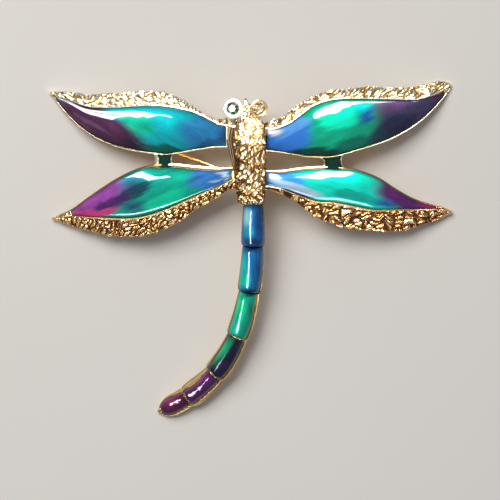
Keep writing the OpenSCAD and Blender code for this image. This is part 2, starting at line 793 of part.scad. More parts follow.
module tail() {
    step = enamel_gap / tail_length;
    lip = 0.03;
    rings = concat(
        [tail_ring(-tail_tuck / tail_length, 0, lip)],
        [
            for (k = [0:tail_segments - 1])
                each concat(
                    [tail_ring(segment_from(k) - step, segment_from(k), lip)],
                    [
                        for (i = [0:tail_stations])
                            tail_ring(segment_station(k, i), segment_station(k, i), core_sink)
                    ],
                    [tail_ring(segment_to(k) + step, segment_to(k), lip)]
                )
        ],
        [tail_ring(1, 1, lip)]
    );
    loft(rings, false);
}
// Height at which the enamel's underside lies over a point of the core, so that it keeps its gap on steep sides too
function tail_clear(core, j) =
    enamel_gap * max([
        for (i = [max(j - 1, 0):min(j, tail_points - 2)])
            norm(core[i + 1] - core[i]) / abs(core[i + 1][0] - core[i][0])
    ]);
function tail_enamel_ring(s, shape) =
    let (
        core = core_section(shape, core_sink),
        inner = [for (j = [tail_points - 1:-1:0]) core[j] + [0, tail_clear(core, j)]],
        outer = [
            for (j = [0:tail_points - 1])
                j == 0 || j == tail_points - 1
                    ? core[j] + [0, tail_clear(core, j) + 0.1]
                    : [core[j][0], tail_dome(shape, spread(j, tail_points - 1), 0) + 0.08]
        ]
    )
    [for (p = concat(inner, outer)) tail_spot(s, p[0], p[1])];
module tail_enamel(k) {
    step = enamel_gap / tail_length;
    loft(
        [
            for (i = [0:tail_stations])
                let (s = segment_station(k, i))
                tail_enamel_ring(s + (i == 0 ? step : i == tail_stations ? -step : 0), s)
        ],
        false,
        paired = true
    );
}

// Pin, bracket and catch, in a frame with X along the pin from its rivet and Y along the rivet
pin_turn = 180 - pin_slope;
module at_pin() {
    translate([hinge_side, hinge_up, pin_height])
        rotate(pin_turn)
            children();
}
function pin_place(x, y) =
    [hinge_side + x * cos(pin_turn) - y * sin(pin_turn), hinge_up + x * sin(pin_turn) + y * cos(pin_turn), 0];
// Height of a wing's back over a place on the pin's frame
function back_over(w, x, y) =
    let (s = (pin_place(x, y) - wing_start(w)) * wing_outward(w) / wing_length[w])
    wing_back(w, s);
function lowest_back(w, from, to, left, right) =
    min([for (x = [from, to]) for (y = [left, right]) back_over(w, x, y)]) - pin_height;

ear_inside = eye_ring_width / 2 + ear_clearance;
bracket_half = ear_inside + sheet;
bracket_stud = bracket_tail - stud_head - 0.2;
bracket_nose = 1;
hinge_pad_base = lowest_back(lower_right, -bracket_tail, bracket_nose, -bracket_half, bracket_half) - pad_depth;
bracket_top = hinge_pad_base - stake_gap;

catch_stud = catch_reach - stud_head - 0.15;
catch_half = catch_length / 2;
catch_inner = -0.9;
catch_outer = sqrt(pow(pin_height, 2) + pow(catch_slot / 2, 2));
// The catch's foot reaches toward the middle of the wing, on the rivet's far side
catch_pad_base =
    lowest_back(
        upper_left, catch_place - catch_half, catch_place + catch_half, -catch_reach, -catch_inner
    ) - pad_depth;
catch_top = catch_pad_base - stake_gap;

module stud(base, top) {
    translate([0, 0, base - stake_gap * 2 - sheet - 0.01])
        cylinder(r = stud_radius, h = top - base + stake_gap * 2 + sheet, $fn = round_sides);
    translate([0, 0, base - stake_gap * 2 - sheet - head_thickness])
        cylinder(r = stud_head, h = head_thickness, $fn = round_sides);
}
module pads() {
    at_pin() {
        translate([-bracket_tail, -bracket_half, hinge_pad_base])
            cube([bracket_tail + bracket_nose, 2 * bracket_half, pad_depth + pad_embed]);
        translate([-bracket_stud, 0, 0])
            stud(hinge_pad_base, hinge_pad_base + pad_depth);
        translate([catch_place - catch_half, -catch_reach, catch_pad_base])
            cube([catch_length, catch_reach + 0.4, pad_depth + pad_embed]);
        translate([catch_place, -catch_stud, 0])
            stud(catch_pad_base, catch_pad_base + pad_depth);
    }
}
module hinge_bracket() {
    web = 0.92 * pin_height;
    color("goldenrod")
        at_pin()
            difference() {
                union() {
                    translate([-bracket_tail, -bracket_half, bracket_top - sheet])
                        cube([bracket_tail + bracket_nose, 2 * bracket_half, sheet]);
                    for (side = [-1, 1])
                        translate([0, side * (ear_inside + sheet / 2), 0]) {
                            rotate([90, 0, 0])
                                cylinder(r = pin_height, h = sheet, center = true, $fn = fine_sides);
                            translate([-web, -sheet / 2, 0])
                                cube([web + bracket_nose - 0.02, sheet, bracket_top - sheet / 2]);
                        }
                }
                rotate([90, 0, 0])
                    cylinder(
                        r = rivet_radius + hinge_clearance,
                        h = 2 * bracket_half + 1,
                        center = true,
                        $fn = fine_sides
                    );
                translate([-bracket_stud, 0, bracket_top - 2 * sheet])
                    cylinder(r = stud_radius + stake_gap, h = 3 * sheet, $fn = fine_sides);
            }
}
module hinge_rivet() {
    reach = bracket_half + stake_gap;
    color("darkgoldenrod")
        at_pin()
            rotate([90, 0, 0]) {
                cylinder(r = rivet_radius, h = 2 * reach + head_thickness, center = true, $fn = fine_sides);
                for (side = [-1, 1])
                    translate([0, 0, side * (reach + head_thickness / 2)])
                        cylinder(r = rivet_head, h = head_thickness, center = true, $fn = fine_sides);
            }
}
module pin_stem() {
    straight_end = pin_length - pin_taper;
    color("khaki")
        at_pin()
            difference() {
                union() {
                    rotate([90, 0, 0])
                        cylinder(r = eye_ring_radius, h = eye_ring_width, center = true, $fn = fine_sides);
                    rotate([0, 90, 0])
                        cylinder(r1 = shoulder_radius, r2 = pin_radius, h = shoulder_length, $fn = fine_sides);
                    translate([shoulder_length / 2, 0, 0])
                        rotate([0, 90, 0])
                            cylinder(r = pin_radius, h = straight_end - shoulder_length / 2, $fn = fine_sides);
                    translate([straight_end, 0, 0])
                        rotate([0, 90, 0])
                            cylinder(r1 = pin_radius, r2 = 0.08, h = pin_taper, $fn = fine_sides);
                }
                rotate([90, 0, 0])
                    cylinder(
                        r = rivet_radius + hinge_clearance,
                        h = eye_ring_width + 1,
                        center = true,
                        $fn = fine_sides
                    );
            }
}
module catch() {
    neck = 0.8 * catch_outer;
    color("goldenrod")
        at_pin()
            translate([catch_place, 0, 0])
                difference() {
                    union() {
                        rotate([0, 90, 0])
                            cylinder(r = catch_outer, h = catch_length, center = true, $fn = fine_sides);
                        translate([-catch_half, -neck, 0])
                            cube([catch_length, 2 * neck, catch_top - sheet / 2]);
                        translate([-catch_half, -catch_reach, catch_top - sheet])
                            cube([catch_length, catch_reach - catch_inner, sheet]);
                    }
                    rotate([0, 90, 0])
                        cylinder(r = catch_bore, h = catch_length + 1, center = true, $fn = fine_sides);
                    translate([-catch_half - 0.5, -catch_slot / 2, -pin_height - 1])
                        cube([catch_length + 1, catch_slot, pin_height + 1]);
                    translate([0, -catch_stud, catch_top - 2 * sheet])
                        cylinder(r = stud_radius + stake_gap, h = 3 * sheet, $fn = fine_sides);
                }
}

// The one casting
module casting() {
    color("gold")
        difference() {
            union() {
                thorax();
                collar();
                head();
                for (hand = [-1, 1])
                    eye_cup(hand);
                for (w = wings)
                    wing(w);
                for (pair = [0, 1])
                    bridge(pair);
                tail();
                pads();
            }
            for (hand = [-1, 1])
                at_eye(hand)
                    eye_pocket();
            for (pair = [0, 1])
                bridge_notch(pair);
        }
}

casting();
color("teal") wing_enamel(upper_left);  // enamel_upper_left
color("seagreen") wing_enamel(upper_right);  // enamel_upper_right
color("mediumseagreen") wing_enamel(lower_left);  // enamel_lower_left
color("lightseagreen") wing_enamel(lower_right);  // enamel_lower_right
color("darkgreen") bridge_enamel(0);  // bridge_enamel_left
color("darkgreen") bridge_enamel(1);  // bridge_enamel_right
color("royalblue") tail_enamel(0);  // tail_enamel_1
color("steelblue") tail_enamel(1);  // tail_enamel_2
color("seagreen") tail_enamel(2);  // tail_enamel_3
color("midnightblue") tail_enamel(3);  // tail_enamel_4
color("purple") tail_enamel(4);  // tail_enamel_5
color("indigo") tail_enamel(5);  // tail_enamel_6
color("darkslategray") eye_stone(-1);  // eye_stone_left
color("darkslategray") eye_stone(1);  // eye_stone_right
hinge_bracket();
hinge_rivet();
pin_stem();
catch();
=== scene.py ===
import json

import bpy
import numpy as np
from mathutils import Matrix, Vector

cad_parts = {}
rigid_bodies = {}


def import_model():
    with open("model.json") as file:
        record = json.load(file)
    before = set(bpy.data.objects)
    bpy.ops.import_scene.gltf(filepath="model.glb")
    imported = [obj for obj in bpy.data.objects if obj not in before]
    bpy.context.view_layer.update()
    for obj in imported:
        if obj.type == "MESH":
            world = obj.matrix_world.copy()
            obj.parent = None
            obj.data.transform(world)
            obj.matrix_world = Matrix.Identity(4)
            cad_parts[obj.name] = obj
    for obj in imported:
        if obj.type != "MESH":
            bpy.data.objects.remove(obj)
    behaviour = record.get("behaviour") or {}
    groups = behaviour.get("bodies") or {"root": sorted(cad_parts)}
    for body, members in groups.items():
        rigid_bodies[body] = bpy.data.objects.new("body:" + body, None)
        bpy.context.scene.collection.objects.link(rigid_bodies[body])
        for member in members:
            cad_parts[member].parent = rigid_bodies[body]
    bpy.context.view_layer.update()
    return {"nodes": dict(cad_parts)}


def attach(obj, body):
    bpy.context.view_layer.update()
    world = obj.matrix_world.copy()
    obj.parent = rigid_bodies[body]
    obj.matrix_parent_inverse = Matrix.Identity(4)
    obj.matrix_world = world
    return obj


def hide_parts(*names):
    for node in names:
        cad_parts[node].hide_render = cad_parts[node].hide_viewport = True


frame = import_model()
mm = 0.001
fullTurn = 6.28
photo = dict(pixel=0.16, across=251.5, down=250, width=500)  # mm to a pixel, the pixel at the origin, pixels across
print("frame loaded with", len(frame["nodes"]), "solids")


# numbers and curves; all lengths are in millimetres

def mix(a, b, t):
    return a + (b - a) * t


def ease(t):  # smooth rise from 0 to 1
    t = np.clip(t, 0, 1)
    return t * t * (3 - 2 * t)


def dome(t):  # 0 at both edges and 1 in the middle, with steep sides and a broad top
    return np.maximum(1 - np.abs(2 * t - 1) ** 2.5, 0) ** 0.6


def even(count):  # evenly spaced places from 0 to 1, in a row
    return np.linspace(0, 1, count)[None, :]


def spread(count):  # places from 0 to 1 in a row, closer together near both ends
    return (1 - np.cos(np.linspace(0, np.pi, count)))[None, :] / 2


def readRows(rows, s, column):
    # smooth curve through one column of a table: cubic pieces that meet with the slopes of the neighbouring rows
    rows = np.asarray(rows, float)
    x, y = rows[:, 0], rows[:, column]
    slopes = np.gradient(y, x, edge_order=1)
    slopes[1:-1] = (y[2:] - y[:-2]) / (x[2:] - x[:-2])
    i = np.clip(np.searchsorted(x, s, side="right") - 1, 0, len(x) - 2)
    span = x[i + 1] - x[i]
    t = np.clip((s - x[i]) / span, 0, 1)
    a, b = y[i], y[i + 1]
    out, home = slopes[i] * span, slopes[i + 1] * span
    return a + out * t + (3 * (b - a) - 2 * out - home) * t**2 + (2 * (a - b) + out + home) * t**3


def scatter(x, y, seed):  # a repeatable number from 0 to 1 for each whole-numbered place
    wave = np.sin(x * 127.1 + y * 311.7 + seed * 74.7) * 43758.5453
    return wave - np.floor(wave)


def softNoise(x, y, seed):
    # value noise from -1 to 1: eased blend of the scattered numbers at the four corners of each unit square
    u, v = np.floor(x), np.floor(y)
    a, b = ease(x - u), ease(y - v)
    low = mix(scatter(u, v, seed), scatter(u + 1, v, seed), a)
    high = mix(scatter(u, v + 1, seed), scatter(u + 1, v + 1, seed), a)
    return 2 * mix(low, high, b) - 1


def nuggetField(x, y, look, seed):
    # Each point belongs to its nearest scattered centre. Its height is a rounded cap that falls to a crease where the
    # second nearest centre is as near, raised, lowered and tilted by amounts of its own for each centre.
    jitter, farAway = 0.85, 9.0
    turn = np.radians(look["turn"])
    x = x + look["warp"] * softNoise(x * 0.9, y * 0.9, seed + 11)
    y = y + look["warp"] * softNoise(x * 0.9 + 7, y * 0.9, seed + 12)
    u = (x * np.cos(turn) + y * np.sin(turn)) / look["long"]
    v = (y * np.cos(turn) - x * np.sin(turn)) / look["short"]
    near, second = np.full(u.shape, farAway), np.full(u.shape, farAway)
    raised, tilted = np.zeros(u.shape), np.zeros(u.shape)
    for i in (-1, 0, 1):
        for j in (-1, 0, 1):
            cu, cv = np.floor(u) + i, np.floor(v) + j
            du = u - cu - 0.5 - jitter * (scatter(cu, cv, seed) - 0.5)
            dv = v - cv - 0.5 - jitter * (scatter(cu, cv, seed + 1) - 0.5)
            away = np.hypot(du, dv)
            closer = away < near
            second = np.where(closer, near, np.minimum(second, away))
            near = np.where(closer, away, near)
            lean = fullTurn * scatter(cu, cv, seed + 2)
            tilted = np.where(closer, du * np.cos(lean) + dv * np.sin(lean), tilted)
            raised = np.where(closer, scatter(cu, cv, seed + 3), raised)
    crease = ease((second - near) / look["soft"])
    height = crease * (1 - 0.5 * near**2) * mix(1 - look["uneven"], 1, raised) + look["tilt"] * tilted * crease
    return height, 1 - crease


def nuggets(x, y, look, seed):
    # two sizes of nugget, the finer one lying on the coarser, and how deep each point lies in a crease
    finer, turned, middle = 0.42, 37, 0.62
    coarse, gap = nuggetField(x, y, look, seed)
    fine = dict(look, long=look["long"] * finer, short=look["short"] * finer, turn=look["turn"] + turned)
    small, smallGap = nuggetField(x + 3.3, y + 1.7, fine, seed + 20)
    height = coarse + look["fine"] * small
    recess = np.clip(1.05 * gap**2 + 0.15 * smallGap**2 + 0.35 * (0.5 - height), 0, 1)
    return look["depth"] * (height - middle), recess


def alongNormals(profile):  # unit normals of profiles in (across, up), on the left of their direction
    step = np.gradient(profile, axis=-2)
    normal = np.stack([-step[..., 1], step[..., 0]], -1)
    return normal / np.maximum(np.linalg.norm(normal, axis=-1, keepdims=True), 1e-9)


def joinParts(count, parts):  # stretches of profile, each (across, up), put end to end for a number of stations
    wide = [[np.broadcast_to(way, (count, way.shape[1])) for way in part] for part in parts]
    return np.concatenate([np.stack(part, -1) for part in wide], 1)


# meshes

def skin(rings):
    # a closed surface through rings of points, with a pole in the middle of the first and of the last ring
    n, m, _ = rings.shape
    points = np.concatenate([rings.reshape(-1, 3), rings[:1].mean(1), rings[-1:].mean(1)])
    i, j = np.meshgrid(np.arange(n - 1), np.arange(m), indexing="ij")
    k = (j + 1) % m
    quads = np.stack([i * m + j, i * m + k, (i + 1) * m + k, (i + 1) * m + j], -1).reshape(-1, 4)
    around, onward = np.arange(m), (np.arange(m) + 1) % m
    first = np.stack([np.full(m, n * m), onward, around], -1)
    last = np.stack([np.full(m, n * m + 1), (n - 1) * m + around, (n - 1) * m + onward], -1)
    tris = np.concatenate([first, last])
    corners = np.concatenate([quads[:, [0, 1, 2]], quads[:, [0, 2, 3]], tris])
    a, b, c = (points[corners[:, q]] - points.mean(0) for q in range(3))
    if np.einsum("ij,ij->i", a, np.cross(b, c)).sum() < 0:  # the volume tells which side is out
        quads, tris = quads[:, ::-1], tris[:, ::-1]
    return points, quads, tris


def putPiece(name, parts, materials, nodes, flat=False, attribute="recess"):
    # joins closed skins, each with its values, into one mesh that rides on the brooch and stands for its CAD nodes
    starts = np.cumsum([0] + [len(part[0][0]) for part in parts[:-1]])
    points = np.concatenate([part[0][0] for part in parts])
    quads, tris = (np.concatenate([part[0][k] + start for part, start in zip(parts, starts)]) for k in (1, 2))
    mesh = bpy.data.meshes.new(name)
    mesh.vertices.add(len(points))
    mesh.vertices.foreach_set("co", (points * mm).astype(np.float32).ravel())
    corners = np.concatenate([quads.ravel(), tris.ravel()])
    starts = np.concatenate([np.arange(len(quads)) * 4, len(quads) * 4 + np.arange(len(tris)) * 3])
    mesh.loops.add(len(corners))
    mesh.loops.foreach_set("vertex_index", corners.astype(np.int32))
    mesh.polygons.add(len(starts))
    mesh.polygons.foreach_set("loop_start", starts.astype(np.int32))
    mesh.polygons.foreach_set("use_smooth", np.full(len(starts), not flat))
    mesh.update(calc_edges=True)
    mesh.validate()
    if attribute:
        values = np.concatenate([part[1] for part in parts]).astype(np.float32)
        mesh.attributes.new(attribute, "FLOAT", "POINT").data.foreach_set("value", values)
    piece = bpy.data.objects.new(name, mesh)
    bpy.context.scene.collection.objects.link(piece)
    for material in materials:
        mesh.materials.append(material)
    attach(piece, "brooch")
    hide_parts(*nodes)
    print(f"{name}: {2 * len(quads) + len(tris)} triangles")
    return piece


def ringValues(values):  # the values of the rings, then of the two poles that skin adds
    return np.concatenate([values.ravel(), values[:1].mean(1), values[-1:].mean(1)])


def plainSkin(rings):  # a skin whose values are all nothing
    return skin(rings), ringValues(np.zeros(rings.shape[:2]))


# shader helpers

def paint(srgb):  # a colour given as 0 to 255, made linear
    c = np.array(srgb) / 255
    linear = np.where(c <= 0.04045, c / 12.92, ((c + 0.055) / 1.055) ** 2.4)
    return (*map(float, linear), 1.0)


def feed(tree, inputs, values):  # gives inputs, by name or number, their values or the sockets of other nodes
    for key, value in values.items():
        if isinstance(value, bpy.types.NodeSocket):
            tree.links.new(value, inputs[key])
        else:
            inputs[key].default_value = value


def newGroup(name, inputs, outputs):  # a node group's tree, the sockets that it is given and those that it fills
    tree = bpy.data.node_groups.new(name, "ShaderNodeTree")
    for label, value in inputs.items():
        kind = "Float" if isinstance(value, float) else "Color" if len(value) == 4 else "Vector"
        tree.interface.new_socket(label, in_out="INPUT", socket_type="NodeSocket" + kind).default_value = value
    for label, kind in outputs.items():
        tree.interface.new_socket(label, in_out="OUTPUT", socket_type="NodeSocket" + kind)
    return tree, tree.nodes.new("NodeGroupInput").outputs, tree.nodes.new("NodeGroupOutput").inputs


def add(tree, kind, values=None, **settings):  # a node with its settings and what its inputs get
    node = tree.nodes.new("ShaderNode" + kind)
    for key, value in settings.items():
        setattr(node, key, value)
    feed(tree, node.inputs, values or {})
    return node.outputs


def math(tree, operation, a, b=0.0, c=0.0, clamp=False):
    return add(tree, "Math", {0: a, 1: b, 2: c}, operation=operation, use_clamp=clamp)[0]


def vectorMath(tree, operation, a, b):
    return add(tree, "VectorMath", {0: a, "Scale" if operation == "SCALE" else 1: b}, operation=operation)[0]


def blend(tree, factor, a, b, mode="MIX"):
    return add(tree, "Mix", {0: factor, 6: a, 7: b}, data_type="RGBA", blend_type=mode)[2]


def remap(tree, value, a, b, c=0.0, d=1.0, smooth=True):
    kind = "SMOOTHSTEP" if smooth else "LINEAR"
    return add(tree, "MapRange", {0: value, 1: a, 2: b, 3: c, 4: d}, interpolation_type=kind)[0]


def noise(tree, vector, scale, detail=3.0, rough=0.55):
    return add(tree, "TexNoise", {"Vector": vector, "Scale": scale, "Detail": detail, "Roughness": rough})[0]


def place(tree, group, **values):  # a group with its own values
    return add(tree, "Group", values, node_tree=group)


def newMaterial(name, values):  # a material with its Principled shader's constant values, and the place on a piece
    material = bpy.data.materials.new(name)
    material.use_nodes = True
    tree = material.node_tree
    shader = tree.nodes["Principled BSDF"].inputs
    feed(tree, shader, values)
    return material, tree, shader, add(tree, "TexCoord")["Object"]


# shader groups

def buildMetalWearAndShade():
    # Colour, roughness and height of cast and plated metal: bright on top, deeper gold on the flanks, brown in the
    # creases, with cloudy tarnish, fine pits and rubbed patches. The recess-and-shade value that sets the tones is
    # partly patina in the hollows and partly painted shade.
    tree, given, out = newGroup(
        "metalWear",
        dict(Place=(0, 0, 0), Recess=0.0, Bright=(1, 1, 1, 1), Deep=(1, 1, 1, 1), Crease=(0, 0, 0, 1), Tarnish=0.3,
             Polish=0.15, Grain=1.0),
        dict(Colour="Color", Roughness="Float", Height="Float"))
    where, recess = given["Place"], given["Recess"]
    cloud = remap(tree, noise(tree, where, 260, 4), 0.35, 0.7)
    skinGrain = noise(tree, where, 5200, 3, 0.6)
    pits = remap(tree, add(tree, "TexVoronoi", {"Vector": where, "Scale": 2600.0})["Distance"], 0.1, 0.32, 1, 0)
    deep = remap(tree, recess, 0.4, 0.92)
    tone = math(tree, "MAXIMUM", remap(tree, recess, 0.02, 0.45), math(tree, "MULTIPLY", cloud, given["Tarnish"]))
    colour = blend(tree, tone, given["Bright"], given["Deep"])
    rough = math(tree, "MULTIPLY_ADD", deep, 0.22, given["Polish"])
    rough = math(tree, "MULTIPLY_ADD", cloud, 0.06, rough)
    relief = math(tree, "MULTIPLY_ADD", pits, -0.35, skinGrain)
    feed(tree, out, dict(
        Colour=blend(tree, deep, colour, given["Crease"]),
        Roughness=math(tree, "MULTIPLY_ADD", skinGrain, 0.05, rough, True),
        Height=math(tree, "MULTIPLY", relief, given["Grain"])))
    return tree


def buildColourPatch():
    # Lays one soft oval of colour over another colour: the place is moved to the oval's middle, turned and divided by
    # its reaches, and the strength falls off with the distance
    tree, given, out = newGroup(
        "colourPatch",
        dict(Place=(0, 0, 0), Under=(0, 0, 0, 1), Middle=(0, 0, 0), Reach=(1, 1, 1), Turn=(0, 0, 0),
             Colour=(1, 1, 1, 1), Strength=1.0, Core=0.35),
        dict(Colour="Color"))
    local = add(
        tree, "Mapping",
        dict(Vector=given["Place"], Location=given["Middle"], Rotation=given["Turn"], Scale=given["Reach"]),
        vector_type="TEXTURE")[0]
    flat = vectorMath(tree, "MULTIPLY", local, (1, 1, 0))
    away = add(tree, "VectorMath", {0: flat}, operation="LENGTH")["Value"]
    share = math(tree, "MULTIPLY", remap(tree, away, given["Core"], 1.0, 1.0, 0.0), given["Strength"])
    feed(tree, out, dict(Colour=blend(tree, share, given["Under"], given["Colour"])))
    return tree


def buildBrushDrift():
    # Moves the place on which a pattern is read, in long strokes along one direction, so that colours run into each
    # other in streaks; also gives the streaks themselves
    tree, given, out = newGroup(
        "brushDrift", dict(Place=(0, 0, 0), Turn=(0, 0, 0), Drift=0.001, Strokes=900.0),
        dict(Place="Vector", Streak="Float"))
    turned = add(tree, "Mapping", dict(Vector=given["Place"], Rotation=given["Turn"]), vector_type="TEXTURE")[0]
    strokes = add(tree, "TexNoise", dict(
        Vector=vectorMath(tree, "MULTIPLY", turned, (0.16, 1, 1)), Scale=given["Strokes"], Detail=4.0, Roughness=0.6))
    push = vectorMath(tree, "SUBTRACT", strokes["Color"], (0.5, 0.5, 0.5))
    moved = vectorMath(tree, "ADD", given["Place"], vectorMath(tree, "SCALE", push, given["Drift"]))
    feed(tree, out, dict(Place=moved, Streak=strokes[0]))
    return tree


def buildEnamelDepthAndShade():
    # Gives the enamel its depth and shade: streaks a little lighter and darker, painted shade along its edges, cloudy
    # thin places where the foil shows, and fine metal specks under the glaze
    tree, given, out = newGroup(
        "enamelDepth",
        dict(Place=(0, 0, 0), Paint=(0, 0, 0, 1), Streak=0.5, Streaking=0.3, Specks=0.4, Foil=0.5, Shore=0.0),
        dict(Colour="Color", Metallic="Float", Height="Float"))
    where = given["Place"]
    streak = remap(tree, given["Streak"], 0.3, 0.72, -1, 1, False)
    colour = vectorMath(tree, "SCALE", given["Paint"], math(tree, "MULTIPLY_ADD", streak, given["Streaking"], 1.0))
    colour = add(tree, "Gamma", {0: colour, 1: 1.08})[0]
    shore = math(tree, "MULTIPLY_ADD", remap(tree, given["Shore"], 0.0, 1.0), -0.62, 1.0)
    cloud = remap(tree, noise(tree, where, 330, 3), 0.42, 0.7)
    colour = blend(
        tree, math(tree, "MULTIPLY", cloud, 0.2), vectorMath(tree, "SCALE", colour, shore), (1, 1, 1, 1), "SOFT_LIGHT")
    cells = add(tree, "TexVoronoi", {"Vector": where, "Scale": 7000.0})
    chosen = remap(tree, add(tree, "SeparateColor", {0: cells["Color"]})[0], 0.82, 0.95)
    close = remap(tree, cells["Distance"], 0.25, 0.5, 1, 0)
    speck = math(tree, "MULTIPLY", math(tree, "MULTIPLY", chosen, close), given["Specks"])
    metal = math(tree, "MULTIPLY", math(tree, "MULTIPLY_ADD", cloud, 0.35, 0.75), given["Foil"])
    feed(tree, out, dict(
        Colour=blend(tree, speck, colour, (0.9, 0.95, 0.9, 1), "SCREEN"),
        Metallic=math(tree, "ADD", metal, speck, clamp=True), Height=noise(tree, where, 700, 2)))
    return tree


metalWear = buildMetalWearAndShade()
colourPatch = buildColourPatch()
brushDrift = buildBrushDrift()
enamelDepth = buildEnamelDepthAndShade()


# materials

golds = {  # bright, deep and crease colour, tarnish, polish, grain
    # painted light and shade: one gold, paler as FrontNuggets for borders facing the lamps, darker as RearNuggets
    "FrontNuggets": [(255, 249, 226), (230, 208, 158), (112, 84, 44), 0.2, 0.12, 0.5],
    "RearNuggets": [(242, 206, 150), (178, 128, 76), (86, 54, 28), 0.5, 0.09, 0.6],
    "Thorax": [(255, 251, 234), (216, 180, 118), (96, 64, 30), 0.25, 0.12, 0.6],
    "Polished": [(252, 238, 206), (222, 188, 128), (104, 68, 30), 0.25, 0.1, 0.25],
    # painted reflection: LeftCup is the same gold painted near white where the left cup's ring shines
    "LeftCup": [(255, 253, 246), (250, 240, 218), (150, 120, 80), 0.1, 0.3, 0.2],
    "RightCup": [(244, 214, 156), (200, 154, 90), (90, 54, 22), 0.4, 0.15, 0.5],
    "Tail": [(232, 204, 150), (172, 132, 82), (56, 34, 18), 0.55, 0.16, 0.5],
    "Fittings": [(240, 200, 132), (214, 164, 92), (104, 66, 28), 0.3, 0.2, 0.6],
    "Back": [(240, 208, 152), (204, 160, 100), (104, 66, 28), 0.5, 0.2, 0.6],
}


def wornShadedMetal(tree, spot, recess, colours, tarnish, polish, grain):
    bright, deep, crease = map(paint, colours)
    return place(tree, metalWear, Place=spot, Recess=recess, Bright=bright, Deep=deep, Crease=crease, Tarnish=tarnish,
                 Polish=polish, Grain=grain)


def goldMaterial(name, *look):
    material, tree, shader, spot = newMaterial(name, {"Metallic": 1.0, "Coat Weight": 0.15, "Coat Roughness": 0.08})
    wearAndShade = wornShadedMetal(tree, spot, add(tree, "Attribute", attribute_name="recess")["Fac"], look[:3], *look[3:])
    bump = add(tree, "Bump", {"Height": wearAndShade["Height"], "Strength": 0.35, "Distance": 0.02 * mm})[0]
    feed(tree, shader, {"Base Color": wearAndShade["Colour"], "Roughness": wearAndShade["Roughness"], "Normal": bump})
    return material


gold = {finishAndLight: goldMaterial("gold" + finishAndLight, *look) for finishAndLight, look in golds.items()}
print("gold materials ready")


def plateBack(piece):  # gives the faces that look down the plain gold of the back
    mesh = piece.data
    mesh.materials.append(gold["Back"])
    normals = np.empty(len(mesh.polygons) * 3)
    mesh.polygons.foreach_get("normal", normals)
    mesh.polygons.foreach_set("material_index", (normals.reshape(-1, 3)[:, 2] < -0.6).astype(np.int32))


enamelLook = dict(drift=3.2, strokes=520, core=0.55, broad=24, streaking=0.3, specks=0.05, foil=0.22)


def enamelMaterial(name, look):
    # The base colour is overlaid with the rows of the table, whose middles are pixels of the photo-sized view: across,
    # down, reach along, reach aside, turn, strength, red, green, blue. Only a broad patch has an even core.
    look = {**enamelLook, **look}
    material, tree, shader, spot = newMaterial(name, {
        "Roughness": 0.38, "Specular IOR Level": 0.0, "Coat Weight": 1.0, "Coat Roughness": 0.03, "Coat IOR": 1.6})
    turn = (0, 0, float(np.radians(look["stroke"])))
    drift = place(tree, brushDrift, Place=spot, Turn=turn, Drift=look["drift"] * mm, Strokes=look["strokes"])
    colour = paint(look["base"])
    scale = photo["pixel"] * mm
    for x, y, reach, aside, angle, strength, *shade in look["patches"]:
        colour = place(
            tree, colourPatch, Place=drift["Place"], Under=colour, Colour=paint(shade), Strength=strength,
            Middle=((x - photo["across"]) * scale, (photo["down"] - y) * scale, 0),
            Reach=(reach * scale, aside * scale, 1), Turn=(0, 0, float(np.radians(angle))),
            Core=look["core"] if reach > look["broad"] else 0.0)["Colour"]
    depth = place(
        tree, enamelDepth, Place=spot, Paint=colour, Streak=drift["Streak"], Streaking=look["streaking"],
        Specks=look["specks"], Foil=look["foil"], Shore=add(tree, "Attribute", attribute_name="shore")["Fac"])
    bump = add(tree, "Bump", {"Height": depth["Height"], "Strength": 0.12, "Distance": 0.08 * mm})[0]
    feed(tree, shader, {"Base Color": depth["Colour"], "Metallic": depth["Metallic"], "Normal": bump})
    return material


# thorax

thorax = dict(
    length=13.6, width=6, rise=3.3, front=21.1, back=4.6, sink=0.15, flange=1.2, flangeHeight=1.3, ridges=3,
    ridgeHeight=0.16, bead=0.5, beadPitch=0.22, headRound=0.8, lipRound=0.35, stations=250, crownPoints=150, seed=5,
    lowShade=0.16, flangeShade=0.45, creaseShade=0.85, edgeShade=0.55,  # how deep the gold is shaded, from 0 to 1
    nuggets=dict(long=1.5, short=0.62, turn=10, warp=0.6, soft=0.55, uneven=0.75, tilt=0.85, fine=0.34, depth=0.52),
    rows=[  # along, left, right, height
        [0, -0.39, 0.17, 0.72], [0.07, -0.55, 0.28, 0.86], [0.16, -0.63, 0.33, 0.96], [0.26, -0.67, 0.335, 1],
        [0.4, -0.6, 0.335, 1], [0.55, -0.52, 0.335, 0.97], [0.73, -0.47, 0.335, 0.93], [0.9, -0.39, 0.31, 0.88],
        [1, -0.36, 0.28, 0.84],
    ],
)


def thoraxSide(s, hand):
    return thorax["width"] * readRows(thorax["rows"], s, 1 if hand < 0 else 2)


def flangeInside(s):  # the line where the crown rises from the flange, which narrows toward the lower lip
    return thoraxSide(s, -1) + thorax["flange"] * mix(1, 0.1, ease((s - 0.25) / 0.65))


def thoraxCrown(s, t):  # from the flange at t = 0 over the crest to the right wall at t = 1
    rise = thorax["rise"] * readRows(thorax["rows"], s, 3)
    across = mix(flangeInside(s), thoraxSide(s, 1), t**0.9)
    return across, mix(thorax["flangeHeight"], rise, dome(mix(0.04, 0.9, t)))


